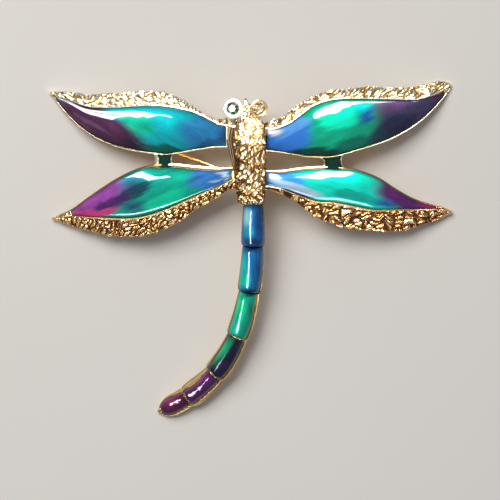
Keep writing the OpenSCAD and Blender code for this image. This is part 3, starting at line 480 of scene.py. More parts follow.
def thoraxSkin():
    # a profile of back, right wall, nuggeted crown, ridged flange and left wall, carried from the head to the lower
    # lip; both ends are drawn in to rounded faces
    s = np.linspace(0, 1, thorax["stations"])[:, None]
    left, right = thoraxSide(s, -1), thoraxSide(s, 1)
    under = -thorax["sink"]
    crown = thoraxCrown(s, 1 - spread(thorax["crownPoints"]))
    back, wall, ledge, skirt = even(9)[:, :-1], even(16)[:, :-1], even(26)[:, 1:], even(8)[:, 1:-1]
    ripple = np.sin(ledge * fullTurn * thorax["ridges"] + 1.5 * softNoise(s * 9, ledge, 3))
    flange = mix(thorax["flangeHeight"] + 0.05, thorax["flangeHeight"] * 0.8, ledge)
    flange = flange + thorax["ridgeHeight"] * ripple * (1 - ledge**6)
    profile = joinParts(len(s), [
        (mix(left, right, back), under + 0 * back), (right + 0 * wall, mix(under, crown[1][:, :1], wall)), crown,
        (mix(flangeInside(s), left, ledge), flange), (left + 0 * skirt, mix(flange[:, -1:], under, skirt))])
    length = np.cumsum(np.linalg.norm(np.diff(profile, axis=1, prepend=profile[:, :1]), axis=-1), 1)
    lump, recess = nuggets(s * thorax["length"], length, thorax["nuggets"], thorax["seed"])

    order = np.arange(profile.shape[1])
    first = back.shape[1]
    last = first + wall.shape[1] + thorax["crownPoints"] - 1
    outside = last + ledge.shape[1]
    window = ease((order - first + 1) / 10) * ease((last - order) / 6)
    profile = profile + alongNormals(profile) * (lump * window)[..., None]
    # painted light and shade: the crown is paler toward the head, away from its right wall, and darker toward the lip
    pale = ease((0.5 - s) / 0.4) * ease((order - first - 20) / 30)
    recess = recess * window * (1 - 0.6 * pale) + thorax["lowShade"] * ease((s - 0.2) / 0.4) * window
    recess[:, last + 1:outside + 1] = thorax["flangeShade"] - 0.5 * ripple
    # painted shade: the crown is darker on its left side, next to the flange
    beside = 0.25 + 0.45 * ease(np.linspace(0, 1, 26))
    recess[:, last - 26:last] = np.maximum(recess[:, last - 26:last], beside)
    recess[:, last:last + 4] = thorax["creaseShade"]  # where the crown meets the flange
    recess[:, outside - 3:] = np.maximum(recess[:, outside - 3:], thorax["edgeShade"])
    y = thorax["front"] - s * thorax["length"] + 0 * profile[..., 0]
    middle = np.stack([(left + right) / 2, mix(under, thorax["rise"], 0.4) + 0 * s], -1)

    def drawnIn(end, outward):  # rounds one end off by shrinking its ring on a quarter circle
        q = np.linspace(0, np.pi / 2, 12)[1:-1, None]
        shrunk = middle[end] + (profile[end] - middle[end]) * np.cos(q)[..., None]
        return shrunk, y[end] + outward * np.sin(q) * np.ones_like(y[end]), recess[end] * np.ones_like(q)

    atHead, atLip = drawnIn(slice(0, 1), thorax["headRound"]), drawnIn(slice(-1, None), -thorax["lipRound"])
    profile, y, recess = (
        np.concatenate([start[::-1], rings, stop]) for start, rings, stop in zip(atHead, (profile, y, recess), atLip))
    rings = np.stack([profile[..., 0], y, thorax["back"] + profile[..., 1]], -1)
    return skin(rings), ringValues(recess)


def collarSkin():
    # a tube along the lower lip of the crown, thick and thin by turns, so that it reads as a row of soldered beads
    t = np.linspace(0.02, 0.98, 160)
    across, up = thoraxCrown(np.ones_like(t), t)
    beads = np.abs(np.cos((t - 0.06) / thorax["beadPitch"] * np.pi))
    radius = thorax["bead"] * (0.45 + 0.6 * beads**0.6) * np.sqrt(np.clip(4 * np.minimum(t, 1 - t) * 4, 0.05, 1))
    path = np.stack([across, up], -1)
    normal = alongNormals(path)
    around = np.linspace(0, 2 * np.pi, 40, endpoint=False)[None, :]
    lump, recess = nuggets(t[:, None] * 7, around * 0.5, dict(thorax["nuggets"], depth=0.16), 41)
    reach = radius[:, None] + lump
    flat = path[:, None] - normal[:, None] * 0.3 + normal[:, None] * (reach * np.cos(around))[..., None]
    y = thorax["front"] - thorax["length"] + 0.2 + reach * np.sin(around)
    recess = np.clip(0.4 * recess + 0.9 * (1 - beads[:, None]) ** 2, 0, 1)
    return skin(np.stack([flat[..., 0], y, thorax["back"] + flat[..., 1]], -1)), ringValues(recess)


plateBack(putPiece("thoraxBody", [thoraxSkin(), collarSkin()], [gold["Thorax"]], ["casting"]))


# head and eyes

head = dict(
    side=-0.92, reach=1.35, spread=4.24, height=3.2, lean=12, radius=1.45, nubReach=1.65, nubRadius=0.55,
    skullBack=1.7, skullFront=0.95, neckBack=0.5, neckRadius=0.95, neckPast=0.3, nubBack=0.2, seed=71,
    stoneRadius=0.95, crown=0.4, depth=0.8, girdle=0.06, wall=0.4, cupLength=1.9, cupTaper=0.16, footRadius=0.3,
    lip=0.22, lipRound=0.16,
    nuggets=dict(long=0.6, short=0.5, turn=10, warp=0.2, soft=0.4, uneven=0.5, tilt=0.4, fine=0.25, depth=0.26),
)
eyeY = thorax["front"] + head["reach"]
cupRadius = head["stoneRadius"] + 0.05 + head["wall"]


def atEye(points, hand):  # from an eye's own axis to its place on the head
    lean = np.radians(head["lean"]) * hand
    x, y, z = points[..., 0], points[..., 1], points[..., 2]
    return np.stack([
        x * np.cos(lean) + z * np.sin(lean) + head["side"] + hand * head["spread"] / 2,
        y + eyeY,
        z * np.cos(lean) - x * np.sin(lean) + thorax["back"] + head["height"]], -1)


def turned(profile, sides):  # a profile of radius and height carried round the axis
    angle = np.linspace(0, 2 * np.pi, sides, endpoint=False)[None, :]
    radius, up = profile[:, :1], profile[:, 1:]
    return np.stack([radius * np.cos(angle), radius * np.sin(angle), up + 0 * angle], -1)


def tube(start, end, places, radii, sides, look, seed):
    # nuggeted rings square to a straight path, with a place and a radius for each; the radii fall to nearly nothing at
    # both ends
    start, end = np.array(start, float), np.array(end, float)
    length = np.linalg.norm(end - start)
    along = (end - start) / length
    aside = np.cross(along, [0.0, 0.0, 1.0])
    aside /= np.linalg.norm(aside)
    third = np.cross(along, aside)
    place01, radius = places[:, None], radii[:, None]
    angle = np.linspace(0, 2 * np.pi, sides, endpoint=False)[None, :]
    lump, recess = nuggets(place01 * length, angle * radius.max(), look, seed)
    fade = ease(radius / radius.max() * 1.6)
    radius, recess = radius + lump * fade, recess * fade
    rings = (start + along * (place01 * length)[..., None]
             + aside * (radius * np.cos(angle))[..., None] + third * (radius * np.sin(angle))[..., None])
    return skin(rings), ringValues(recess)


def headSkins():
    # the skull between the eyes, the two necks under the cups and the pointed nub in front
    back, side, r, seed = thorax["back"], head["side"], head["radius"], head["seed"]
    q = np.linspace(0, np.pi, 70)
    places = (1 - np.cos(q)) / 2
    skull = r * np.sin(q) ** 0.6 * mix(1, 0.8, places) + 0.02
    rear = thorax["front"] - head["skullBack"]
    parts = [tube((side, rear, back + r), (side, eyeY + head["skullFront"], back + r * 0.92), places, skull, 90,
                  head["nuggets"], seed)]
    neck = mix(head["neckRadius"], cupRadius * 0.86, places) * np.sin(q) ** 0.35 + 0.02
    for hand in (-1, 1):
        foot = atEye(np.array([[0.0, 0.0, -head["cupLength"] * 0.75]]), hand)[0]
        past = (foot - [side, thorax["front"], back + r]) * head["neckPast"]
        parts.append(tube((side, thorax["front"] - head["neckBack"], back + r), foot + past, places, neck, 80,
                          head["nuggets"], seed + 5 + hand))
    nub = head["nubRadius"] * (1.25 - 0.75 * (q / np.pi) ** 1.5) * np.sin(q) ** 0.45 + 0.01
    parts.append(tube((side, eyeY - head["nubBack"], back + r * 1.15), (side, eyeY + head["nubReach"] + 0.1, back + r),
                      q / np.pi, nub, 40, dict(head["nuggets"], depth=0.1), seed + 9))
    return parts


def cupProfile(wider):
    # outside wall, rounded lip, inside wall and cone-shaped seat of an eye cup, from its foot to the seat's middle
    mouth, deep = head["stoneRadius"] + 0.03, -head["lip"] - head["depth"] - 0.06
    q = np.linspace(0, np.pi, 16)
    brim, lipRound, taper, base = cupRadius + wider, head["lipRound"], head["cupTaper"], -head["cupLength"]
    lipX = (brim + mouth) / 2 + (brim - mouth) / 2 * np.cos(q)
    lipZ = -lipRound + lipRound * np.sin(q)
    wall = np.linspace(0, 1, 12)[:-1]
    outer = np.stack([brim * (1 - taper + taper * np.sin(wall * np.pi / 2)), mix(base, -lipRound, wall)], -1)
    foot = np.array([[head["footRadius"], base], [cupRadius * 0.8, base]])
    seat = np.array([[mouth, -head["lip"]], [mouth * 0.99, -head["lip"] - 0.08], [0.2, deep], [0.05, deep]])
    return np.concatenate([foot, outer, np.stack([lipX, lipZ], -1), seat])


putPiece("headSkull", headSkins(), [gold["Thorax"]], ["casting"])
for hand, label, wider in ((-1, "Left", 0.2), (1, "Right", 0.04)):
    rings = atEye(turned(cupProfile(wider), 96), hand)
    putPiece("eyeCup" + label, [plainSkin(rings)], [gold[label + "Cup"]], ["casting"])


def stoneMaterials(label, tint, foil, shadow):
    tint, foil = np.array(tint), np.array(foil)
    glass, tree, shader, spot = newMaterial("stoneGlass" + label, {
        "Transmission Weight": 1.0, "Metallic": 0.0, "IOR": 1.6, "Roughness": 0.01})
    cloud = math(tree, "MULTIPLY", remap(tree, noise(tree, spot, 900, 2), 0.35, 0.7), 0.4)
    feed(tree, shader, {"Base Color": blend(tree, cloud, paint(tint), paint(0.8 * tint))})
    behind, tree, shader, spot = newMaterial("stoneFoil" + label, {"Metallic": 1.0})
    dark = math(tree, "MULTIPLY", remap(tree, noise(tree, spot, 620, 1), 0.4, 0.55), shadow)
    wearAndShade = wornShadedMetal(tree, spot, dark, (foil, 0.6 * foil, 0.3 * foil), 0.3, 0.05, 0.2)
    feed(tree, shader, {"Base Color": wearAndShade["Colour"], "Roughness": wearAndShade["Roughness"]})
    return [glass, behind]


def stoneRings():
    # brilliant cut as eight-fold rings: culet, pavilion, girdle, upper girdle, crown points and table
    sixteen = np.arange(16) * np.pi / 8
    r, top, low = head["stoneRadius"] - 0.01, head["crown"], head["depth"]
    onEven = np.arange(16) % 2 == 0

    def ring(evenRadius, oddRadius, evenUp, oddUp):
        radius = np.where(onEven, evenRadius, oddRadius)
        return np.stack([radius * np.cos(sixteen), radius * np.sin(sixteen), np.where(onEven, evenUp, oddUp)], -1)

    return np.stack([
        ring(0.03, 0.03, -low, -low),
        ring(r * 0.5, r * 0.46, -low * 0.55, -low * 0.5),
        ring(r, r, 0, 0.0),
        ring(r, r, head["girdle"], head["girdle"]),
        ring(r * 0.84, r * 0.78, top * 0.52, top * 0.6),
        ring(r * 0.6, r * 0.555, top, top),
        ring(r * 0.3, r * 0.277, top + 0.001, top + 0.001)])


# painted reflections: the eye stones are alike; the left is painted dark green and the right pale, as each shines
for hand, label, node, tint, foil, shadow in (
    (-1, "Left", "eye_stone_left", (120, 176, 148), (60, 92, 72), 1.0),
    (1, "Right", "eye_stone_right", (255, 252, 246), (255, 248, 230), 0.5),
):
    rings = atEye(stoneRings() - [0, 0, head["lip"]], hand)
    stone = putPiece(
        "eyeStone" + label, [plainSkin(rings)], stoneMaterials(label, tint, foil, shadow), [node], True, None)
    centres = np.empty(len(stone.data.polygons) * 3)
    stone.data.polygons.foreach_get("center", centres)
    spots = centres.reshape(-1, 3) / mm
    lean = np.radians(head["lean"]) * hand
    local = ((spots[:, 0] - head["side"] - hand * head["spread"] / 2) * np.sin(lean)
             + (spots[:, 2] - thorax["back"] - head["height"]) * np.cos(lean))
    stone.data.polygons.foreach_set("material_index", (local < -head["lip"] - 0.01).astype(np.int32))


# wings

wing = dict(
    rim=0.22, lip=0.16, rimHeight=0.9, edgeHeight=0.55, seamHeight=1.35, ragged=0.22, hollow=0.6,
    thickness=0.5, crown=0.9, gap=0.02, tuck=1.6, borderPoints=56, stations=400, tipStations=34,
    tipThinning=0.42, rootDrop=0.45, backInset=0.08, rimInset=0.06, rimTop=0.9, rimFoot=0.66, rimRound=0.12,
    wave=0.035, meniscus=0.06, endFall=0.35, belowSeam=0.15,  # of the enamel's top
    bedShade=0.55, wallShade=0.5,  # how deep the gold is shaded where the bed meets the lip and the rim
)
wings = {
    "UpperLeft": dict(
        hand=-1, band=1, length=29.0, width=10.1, sweep=14, root=3, lift=0, start=0.15, end=0.965, bridge=0.315,
        swell=0, seed=101, gold="FrontNuggets", node="enamel_upper_left",
        rimTone=[[0, 0.3], [0.2, 0.15], [0.35, 0.1], [0.5, 0.45], [0.65, 0.8], [1, 0.6]],
        nuggets=dict(long=1.05, short=0.85, turn=20, warp=0.3, soft=0.34, uneven=0.4, tilt=0.4, fine=0.14, depth=0.32),
        rows=[  # along, border, seam, rim
            [0, 0.31, 0.16, -0.17], [0.05, 0.27, 0.15, -0.21], [0.1, 0.25, 0.19, -0.26], [0.2, 0.35, 0.24, -0.39],
            [0.3, 0.42, 0.24, -0.52], [0.4, 0.45, 0.21, -0.56], [0.5, 0.4, 0.14, -0.585], [0.6, 0.31, 0.05, -0.58],
            [0.7, 0.21, -0.03, -0.53], [0.8, 0.14, -0.07, -0.42], [0.9, 0.11, -0.04, -0.25],
            [0.96, 0.08, -0.03, -0.12], [1, 0.04, 0, -0.03],
        ],
        paint=dict(
            base=(0, 186, 196), stroke=150, streaking=0.28,
            patches=[
                [209, 131, 38, 24, 8, 1, 48, 142, 200], [196, 124, 22, 8, -8, 0.6, 60, 170, 214],
                [227, 136, 14, 18, 0, 0.75, 44, 66, 112], [214, 143, 26, 5, 12, 0.5, 24, 78, 122],
                # painted shade: the second patch of the next row is a dark green band along the lower edge
                [134, 124, 26, 15, -20, 0.9, 0, 200, 158], [156, 151, 34, 7, -8, 0.85, 0, 92, 62],
                [99, 127, 67, 23, -30, 1, 84, 46, 78],
                [135, 145, 24, 12, -29, 0.9, 44, 30, 56], [90, 122, 32, 3, -30, 0.5, 128, 88, 124],
                [76, 120, 26, 2.5, -34, 0.4, 132, 84, 110], [119, 120, 14, 6, -20, 0.7, 56, 52, 112],
                [56, 100, 12, 8, -35, 0.85, 124, 48, 58],
            ],
        ),
    ),
    "UpperRight": dict(
        hand=1, band=1, length=31.0, width=10.9, sweep=17, root=3.5, lift=0, start=0.25, end=0.965, bridge=0.31,
        swell=0, seed=211, gold="FrontNuggets", node="enamel_upper_right",
        rimTone=[[0, 0.6], [0.1, 0.75], [0.3, 0.7], [0.45, 0.35], [0.6, 0.15], [1, 0.2]],
        nuggets=dict(long=2.6, short=0.46, turn=7, warp=0.4, soft=0.5, uneven=0.55, tilt=0.5, fine=0.22, depth=0.34),
        rows=[
            [0, 0.25, 0.15, -0.17], [0.05, 0.255, 0.1, -0.22], [0.1, 0.25, 0.1, -0.285], [0.15, 0.3, 0.12, -0.36],
            [0.2, 0.345, 0.17, -0.44], [0.3, 0.415, 0.26, -0.54], [0.4, 0.42, 0.26, -0.56], [0.5, 0.37, 0.19, -0.56],
            [0.6, 0.31, 0.1, -0.55], [0.7, 0.205, 0.01, -0.505], [0.8, 0.135, -0.08, -0.42],
            [0.9, 0.105, -0.1, -0.28], [0.96, 0.09, -0.07, -0.17], [1, 0.03, -0.03, -0.08],
        ],
        paint=dict(
            base=(0, 186, 146), stroke=22, streaking=0.28,
            patches=[
                [284, 137, 36, 25, 15, 1, 62, 140, 236], [292, 128, 26, 9, 25, 0.7, 110, 180, 244],
                # painted shade: the second patch of the next row and the first of the row after darken the lower edge
                [266, 137, 4, 18, 0, 0.8, 14, 20, 80], [312, 154, 40, 8, 3, 0.9, 0, 62, 54],
                [352, 146, 28, 9, 15, 0.65, 0, 92, 86], [338, 116, 26, 15, 10, 0.95, 0, 246, 200],
                [361, 110, 13, 9, 0, 0.8, 0, 214, 224], [416, 112, 56, 30, 22, 1, 76, 70, 106],
                [392, 131, 34, 13, 28, 0.85, 38, 46, 78], [392, 106, 25, 10, 12, 0.7, 112, 78, 124],
                [366, 116, 17, 8, 35, 0.9, 40, 84, 180], [441, 94, 18, 10, 38, 0.8, 104, 40, 64],
                # painted highlight: the next row's two patches are a pale glint at the root
                [272, 132, 13, 8.5, 10, 1, 246, 248, 240], [273, 132, 9, 6.5, 10, 1, 254, 254, 250],  # painted glint
            ],
        ),
    ),
    "LowerLeft": dict(
        hand=-1, band=-1, length=29.5, width=10.4, sweep=12.4, root=9.6, lift=0.4, start=0.2, end=0.9, bridge=0.356,
        swell=0.45, seed=317, gold="RearNuggets", node="enamel_lower_left",
        rimTone=[[0, 0.1], [0.3, 0.1], [0.42, 0.35], [0.6, 0.45], [1, 0.3]],
        nuggets=dict(long=1.3, short=0.56, turn=18, warp=0.5, soft=0.46, uneven=0.65, tilt=0.7, fine=0.3, depth=0.42),
        rows=[
            [0, 0.155, 0.015, -0.165], [0.1, 0.26, 0.085, -0.235], [0.2, 0.34, 0.135, -0.325],
            [0.3, 0.445, 0.195, -0.425], [0.4, 0.535, 0.25, -0.47], [0.5, 0.56, 0.275, -0.46],
            [0.6, 0.56, 0.26, -0.4], [0.7, 0.49, 0.19, -0.305], [0.8, 0.36, 0.115, -0.19], [0.9, 0.22, 0.03, -0.07],
            [0.96, 0.11, 0.005, -0.035], [1, 0.04, 0, -0.01],
        ],
        paint=dict(
            base=(0, 172, 148), stroke=200,
            patches=[
                [207, 177, 30, 16, 8, 1, 62, 134, 208], [192, 181, 16, 6, 25, 0.7, 44, 74, 120],
                [179, 176, 22, 18, 0, 0.9, 0, 198, 164], [166, 201, 28, 8, 22, 0.75, 0, 204, 156],
                [168, 184, 24, 8, 14, 0.3, 0, 150, 128],
                [101, 199, 44, 18, 27, 1, 150, 74, 160], [129, 182, 22, 11, 30, 0.9, 0, 120, 150],
                [134, 192, 26, 9, 25, 0.9, 22, 62, 90], [134, 206, 20, 9, 15, 0.85, 44, 54, 116],
                [114, 203, 26, 9, 22, 0.85, 66, 30, 92], [92, 214, 34, 6, 13, 0.95, 210, 70, 132],
                [82, 201, 25, 6, 35, 0.7, 192, 84, 156],
                [222, 174, 12, 3, -4, 0.9, 224, 238, 252], [215, 180, 12, 2.6, 16, 0.85, 214, 232, 250],
                [226, 179, 5, 3, 30, 0.8, 236, 240, 244],  # painted highlights: pale glints at the root
            ],
        ),
    ),
    "LowerRight": dict(
        hand=1, band=-1, length=30.2, width=9.8, sweep=9.5, root=9.9, lift=0.4, start=0.25, end=0.925, bridge=0.352,
        swell=0.3, seed=409, gold="RearNuggets", node="enamel_lower_right",
        rimTone=[[0, 0.1], [0.3, 0.15], [0.5, 0.35], [0.65, 0.7], [1, 0.6]],
        nuggets=dict(
            long=1.7, short=0.62, turn=-12, warp=0.45, soft=0.56, uneven=0.7, tilt=0.85, fine=0.32, depth=0.46),
        rows=[
            [0, 0.175, 0.095, -0.16], [0.05, 0.165, 0.09, -0.185], [0.1, 0.2, 0.1, -0.22], [0.2, 0.32, 0.16, -0.32],
            [0.3, 0.465, 0.205, -0.39], [0.4, 0.54, 0.175, -0.42], [0.5, 0.57, 0.18, -0.41],
            [0.6, 0.535, 0.185, -0.345], [0.7, 0.505, 0.13, -0.215], [0.8, 0.41, 0.07, -0.11],
            [0.9, 0.255, 0.015, -0.065], [0.96, 0.145, -0.01, -0.045], [1, 0.06, 0.01, -0.02],
        ],
        paint=dict(
            base=(0, 226, 200), stroke=-12,
            patches=[
                [282, 180, 30, 15, -8, 1, 74, 160, 236], [302, 193, 26, 7, -12, 0.9, 20, 44, 116],
                [269, 178, 6, 14, 0, 0.7, 20, 40, 120], [334, 184, 34, 12, -5, 0.9, 10, 255, 228],
                [352, 195, 26, 8, -8, 0.8, 0, 176, 160], [414, 199, 50, 20, -17, 1, 100, 44, 116],
                [382, 204, 20, 7, -5, 0.9, 50, 90, 200], [432, 206, 20, 7, -10, 0.85, 186, 34, 122],
                # painted reflections: the next row's last patch and both patches of the row after, pale blue-white
                [396, 190, 20, 5, -20, 0.5, 132, 60, 140], [297, 188, 34, 6, -17, 0.75, 204, 232, 250],
                [269, 176, 9, 7, -10, 0.6, 204, 226, 250], [338, 202, 20, 4, -12, 0.6, 170, 226, 214],
            ],
        ),
    ),
}


def rootX(w):
    return thoraxSide(np.array([w["root"] / thorax["length"]]), w["hand"])[0]


def wingSpot(w, s, across, up):
    # a place on a wing: out from the thorax by a share of the wing's length, across toward its nugget border, and up
    # from its back, which falls toward the tip; near the root the sections lean to run along the thorax's side
    slope = np.radians(w["sweep"])
    out = s * w["length"] + np.tan(slope) * (1 - ease(s / 0.3)) * across
    x = rootX(w) + w["hand"] * (np.cos(slope) * out - np.sin(slope) * across)
    y = thorax["front"] - w["root"] + w["band"] * (np.sin(slope) * out + np.cos(slope) * across)
    z = w["lift"] + (thorax["back"] - w["lift"]) * (1 - np.clip(s, 0, 1.2) ** 1.7) + up
    return np.stack(np.broadcast_arrays(x, y, np.maximum(z, 0.02)), -1)


def wingEdge(w, s, column):
    return w["width"] * readRows(w["rows"], s, column)


def thinning(s):
    return 1 - wing["tipThinning"] * ease((s - 0.8) / 0.2)


def localRim(w, s):
    room = wingEdge(w, s, 2) - wingEdge(w, s, 3)
    beside = ease(s / 0.1) * ease((w["bridge"] + 0.12 - s) / 0.12)
    return np.minimum(wing["rim"] + w["swell"] * beside, 0.22 * room)


def poolAcross(w, s, t, gap):
    return mix(wingEdge(w, s, 2) - gap, wingEdge(w, s, 3) + localRim(w, s) + gap, t)


def enamelTop(w, s, t):
    pool = wingEdge(w, s, 2) - wingEdge(w, s, 3) - localRim(w, s)
    crown = wing["crown"] * np.clip(pool / (0.75 * w["width"]), 0, 1) ** 0.9
    return thinning(s) * mix(wing["seamHeight"] - wing["belowSeam"], wing["rimHeight"], t) + crown * dome(t)


def enamelFoot(w, s, t):
    return enamelTop(w, s, t) - wing["thickness"] * thinning(s) * mix(0.6, 1, dome(t))


def wingStations(w):
    # places along a wing, with the steps at both ends of the enamel's pocket, and how far each ring is drawn in
    step = 0.05 / w["length"]
    start, home = w["start"] / w["length"], w["end"] + 2 * 0.05 / w["length"]
    inside = np.linspace(-wing["tuck"] / w["length"], start - step, 14)
    pocket = np.linspace(start, w["end"], wing["stations"])
    q = np.linspace(0, np.pi / 2, 12)[1:-1]
    tip = np.linspace(home, 1, wing["tipStations"])
    s = np.concatenate([inside, pocket, tip, 1 + 0.45 * np.sin(q) / w["length"]])
    shrink = np.concatenate([np.ones(len(s) - len(q)), np.cos(q)])
    filled = (s < start - step / 2) | (s > w["end"] + step / 2)
    return s[:, None], shrink[:, None], filled[:, None]


def rootDrop(w, s):  # the metal of a wing's root lies lower than the flange that covers it
    return wing["rootDrop"] * ease((w["start"] - 0.1 - s * w["length"]) / 0.5)


def wingFrameSkin(w):
    # One closed profile at each station: hollow back, outer wall, nuggeted border, smooth lip, bed under the enamel and
    # rounded rim. The nuggets push the border out along the profile's normals and fade at the lip and at the back.
    s, shrink, filled = wingStations(w)
    sc = np.clip(s, 0, 1)
    thin = thinning(sc)
    seam, rim = wingEdge(w, sc, 2), wingEdge(w, sc, 3)
    wall = rim + localRim(w, sc)
    lip = wing["lip"] * thin
    ragged = wing["ragged"] * thin * (0.5 + 0.5 * softNoise(s * w["length"] / 1.3, 0 * s, w["seed"]))
    edge = np.maximum(wingEdge(w, sc, 1), seam + 0.15) - ragged
    low, high = thin * wing["edgeHeight"], thin * wing["seamHeight"]
    hollow = wing["hollow"] * ease(s / 0.12) * (1 - ease((s - 0.6) / 0.35))
    top = thin * wing["rimHeight"]

    b, c, d, e, g = even(12), even(12)[:, 1:-1], even(wing["borderPoints"]), even(8)[:, 1:], even(6)[:, 1:-1]
    inset, rimIn = wing["backInset"], wing["rimInset"]
    back = (mix(rim + rimIn, edge - inset, b), hollow * (1 - (2 * b - 1) ** 2))
    skirt = (edge - inset * (1 - np.sin(c * np.pi / 2)), mix(0, low, c))
    border = (mix(edge, seam + lip, d), mix(low, high, np.sin(d * np.pi / 2)))
    bead = (seam + lip * (0.5 + 0.5 * np.cos(e * np.pi)), high + 0.35 * lip * np.sin(e * np.pi) - 0.12 * lip * e)
    t = spread(9)
    foot = np.where(filled, mix(high, top, t) - rootDrop(w, s) * (1 - t), enamelFoot(w, sc, t) - 0.05)
    bed = (mix(seam, wall, t), foot)
    rimArc = (mix(wall, rim, spread(12)),
              top * mix(wing["rimTop"], wing["rimFoot"], b) + wing["rimRound"] * thin * np.sin(b * np.pi))
    fall = (mix(rim, rim + rimIn, g**2), top * wing["rimFoot"] * (1 - g))
    parts = [back, skirt, border, bead, bed, rimArc, fall]
    profile = joinParts(len(s), parts)

    counts = np.cumsum([p[0].shape[1] for p in parts])
    order = np.arange(counts[-1])[None, :]
    onBorder = ease((order - counts[0]) / 9) * ease((counts[2] - 1 - order) / 7)
    atTip = ease((s - w["end"]) / 0.012) * ease((order - counts[0]) / 6) * ease((counts[5] - 1 - order) / 5)
    window = np.maximum(onBorder, atTip) * (1 - 0.75 * ease((s - w["end"]) / 0.06))
    along = s * w["length"] + 0 * order
    lump, recess = nuggets(along, profile[..., 0] + 0.6 * profile[..., 1], w["nuggets"], w["seed"])
    profile = profile + alongNormals(profile) * (-lump * window * thin)[..., None]
    centre = np.concatenate([(edge + rim) / 2, top * 0.45], 1)[:, None]
    profile = centre + (profile - centre) * shrink[..., None]
    rings = wingSpot(w, s, profile[..., 0], np.maximum(profile[..., 1], 0))
    recess = recess * window
    shade = wing["bedShade"] * np.exp(-((order - counts[3]) / 2.0) ** 2)
    shade = shade + wing["wallShade"] * np.exp(-((order - counts[4]) / 2.0) ** 2)
    # painted shade on the rims: darker or lighter along each wing, as its rimTone rows give
    tones = np.array(w["rimTone"])
    rimShade = np.interp(sc, tones[:, 0], tones[:, 1]) * ease((order - counts[4] - 1) / 3)
    recess = np.maximum(np.maximum(recess, np.where(filled, 0, shade)), rimShade)
    return skin(rings), ringValues(recess)


def wingEnamelSkin(w):
    # the domed top and the underside of the enamel in one closed profile, with a slow unevenness left by hand filling,
    # a rounded meniscus along its edges, and both ends eased down to the metal
    gap = wing["gap"]
    s = np.linspace(w["start"] / w["length"] + 0.0006, w["end"] - 0.0004, 300)[:, None]
    t, under = spread(84), spread(10)[:, ::-1]
    wave = wing["wave"] * softNoise(s * w["length"] / 2.6, t * 3.2, w["seed"] + 50) * dome(t)
    meniscus = -wing["meniscus"] * np.exp(-np.minimum(t, 1 - t) / 0.012)
    ends = -wing["endFall"] * np.exp(-(s - s[0]) * w["length"] / 0.16) * dome(t)
    top = enamelTop(w, s, t) + wave + meniscus + ends
    profile = joinParts(len(s), [
        (poolAcross(w, s, under, gap), enamelFoot(w, s, under) - 0.02), (poolAcross(w, s, t, gap), top)])
    toSide = np.minimum(t, 1 - t) * (wingEdge(w, s, 2) - wingEdge(w, s, 3))
    toEnd = np.minimum(s - s[0] + 0.3 / w["length"], s[-1] - s + 0.3 / w["length"]) * w["length"]
    # painted shade: the enamel is darker near its sides and ends
    shore = np.maximum(np.exp(-(toSide / 0.35) ** 1.2), 0.8 * np.exp(-toEnd / 0.5))
    shore = np.concatenate([np.ones((len(s), under.shape[1])), shore], 1)
    return skin(wingSpot(w, s, profile[..., 0], profile[..., 1])), ringValues(shore)


for label, w in wings.items():
    plateBack(putPiece("wingFrame" + label, [wingFrameSkin(w)], [gold[w["gold"]]], ["casting"]))
    glaze = enamelMaterial("enamel" + label, w["paint"])
    putPiece("wingEnamel" + label, [wingEnamelSkin(w)], [glaze], [w["node"]], attribute="shore")


# bridges between the wings

bridges = {
    "Left": dict(
        upper="UpperLeft", lower="LowerLeft", width=2.9, outer=0.75, inner=0.24, node="bridge_enamel_left", seed=7),
    "Right": dict(
        upper="UpperRight", lower="LowerRight", width=3.1, outer=0.26, inner=0.24, node="bridge_enamel_right", seed=9),
}
bridgePaint = dict(
    base=(6, 66, 50), stroke=90, drift=0.6, strokes=900, foil=0.2,
    patches=[[196, 166, 12, 6, 0, 0.5, 10, 96, 84], [310, 166, 12, 6, 0, 0.5, 10, 96, 84]],
)


def bridgeSpot(b, u, slide, up, reach):
    # between the same slide along both wings' rims: u runs from the upper wing to the lower one, and reach says how far
    # the ends go into the rims
    upper, lower = wings[b["upper"]], wings[b["lower"]]
    ends = []
    for w, depth in ((upper, reach[0]), (lower, reach[1])):
        s = w["bridge"] + slide / w["length"]
        ends.append(wingSpot(w, s, wingEdge(w, s, 3) + depth * localRim(w, s), up))
    return mix(ends[0], ends[1], u[..., None])


bridge = dict(
    flare=0.55, pinch=0.12, back=0.12, edge=0.42, bead=0.4, outerBead=0.42, floor=0.5, dip=0.08, endLift=0.1,
    tuck=0.06, fill=0.6, doming=0.2, sag=0.05, lowerLift=0.16, upperLift=0.12,  # of the enamel
)


def bridgeSides(b, u):  # half the width, which flares out into both rims, and the inner sides of both raised edges
    flare = bridge["flare"] * np.abs(2 * u - 1) ** 3.5 - bridge["pinch"]
    half, wider = b["width"] / 2 + flare, 0.5 * np.maximum(flare, 0)
    return half, b["inner"] + wider - half, half - b["outer"] - wider


def bridgeMetalSkin(b):
    # floor with two raised rounded edges; the sides curve in between the wings and flare out into the rims
    u = np.linspace(0, 1, 60)[:, None]
    half, left, right = bridgeSides(b, u)
    base, floor = even(8), even(10)[:, 1:-1]
    over, bead = spread(14), np.sin(even(14) * np.pi) ** 0.7
    profile = joinParts(len(u), [
        (mix(half, -half, base), bridge["back"] + 0 * base),
        (mix(-half, left, over), bridge["edge"] + bridge["bead"] * bead),
        (mix(left, right, floor), bridge["floor"] - bridge["dip"] * np.sin(floor * np.pi)),
        (mix(right, half, over), bridge["edge"] + bridge["outerBead"] * bead)])
    slide, up = profile[..., 0], profile[..., 1] + bridge["endLift"] * np.abs(2 * u - 1) ** 2
    rings = bridgeSpot(b, np.broadcast_to(u, slide.shape), slide, up, (0.45, 0.45))
    return skin(rings), ringValues(0.4 * ease((0.62 - up) / 0.12))


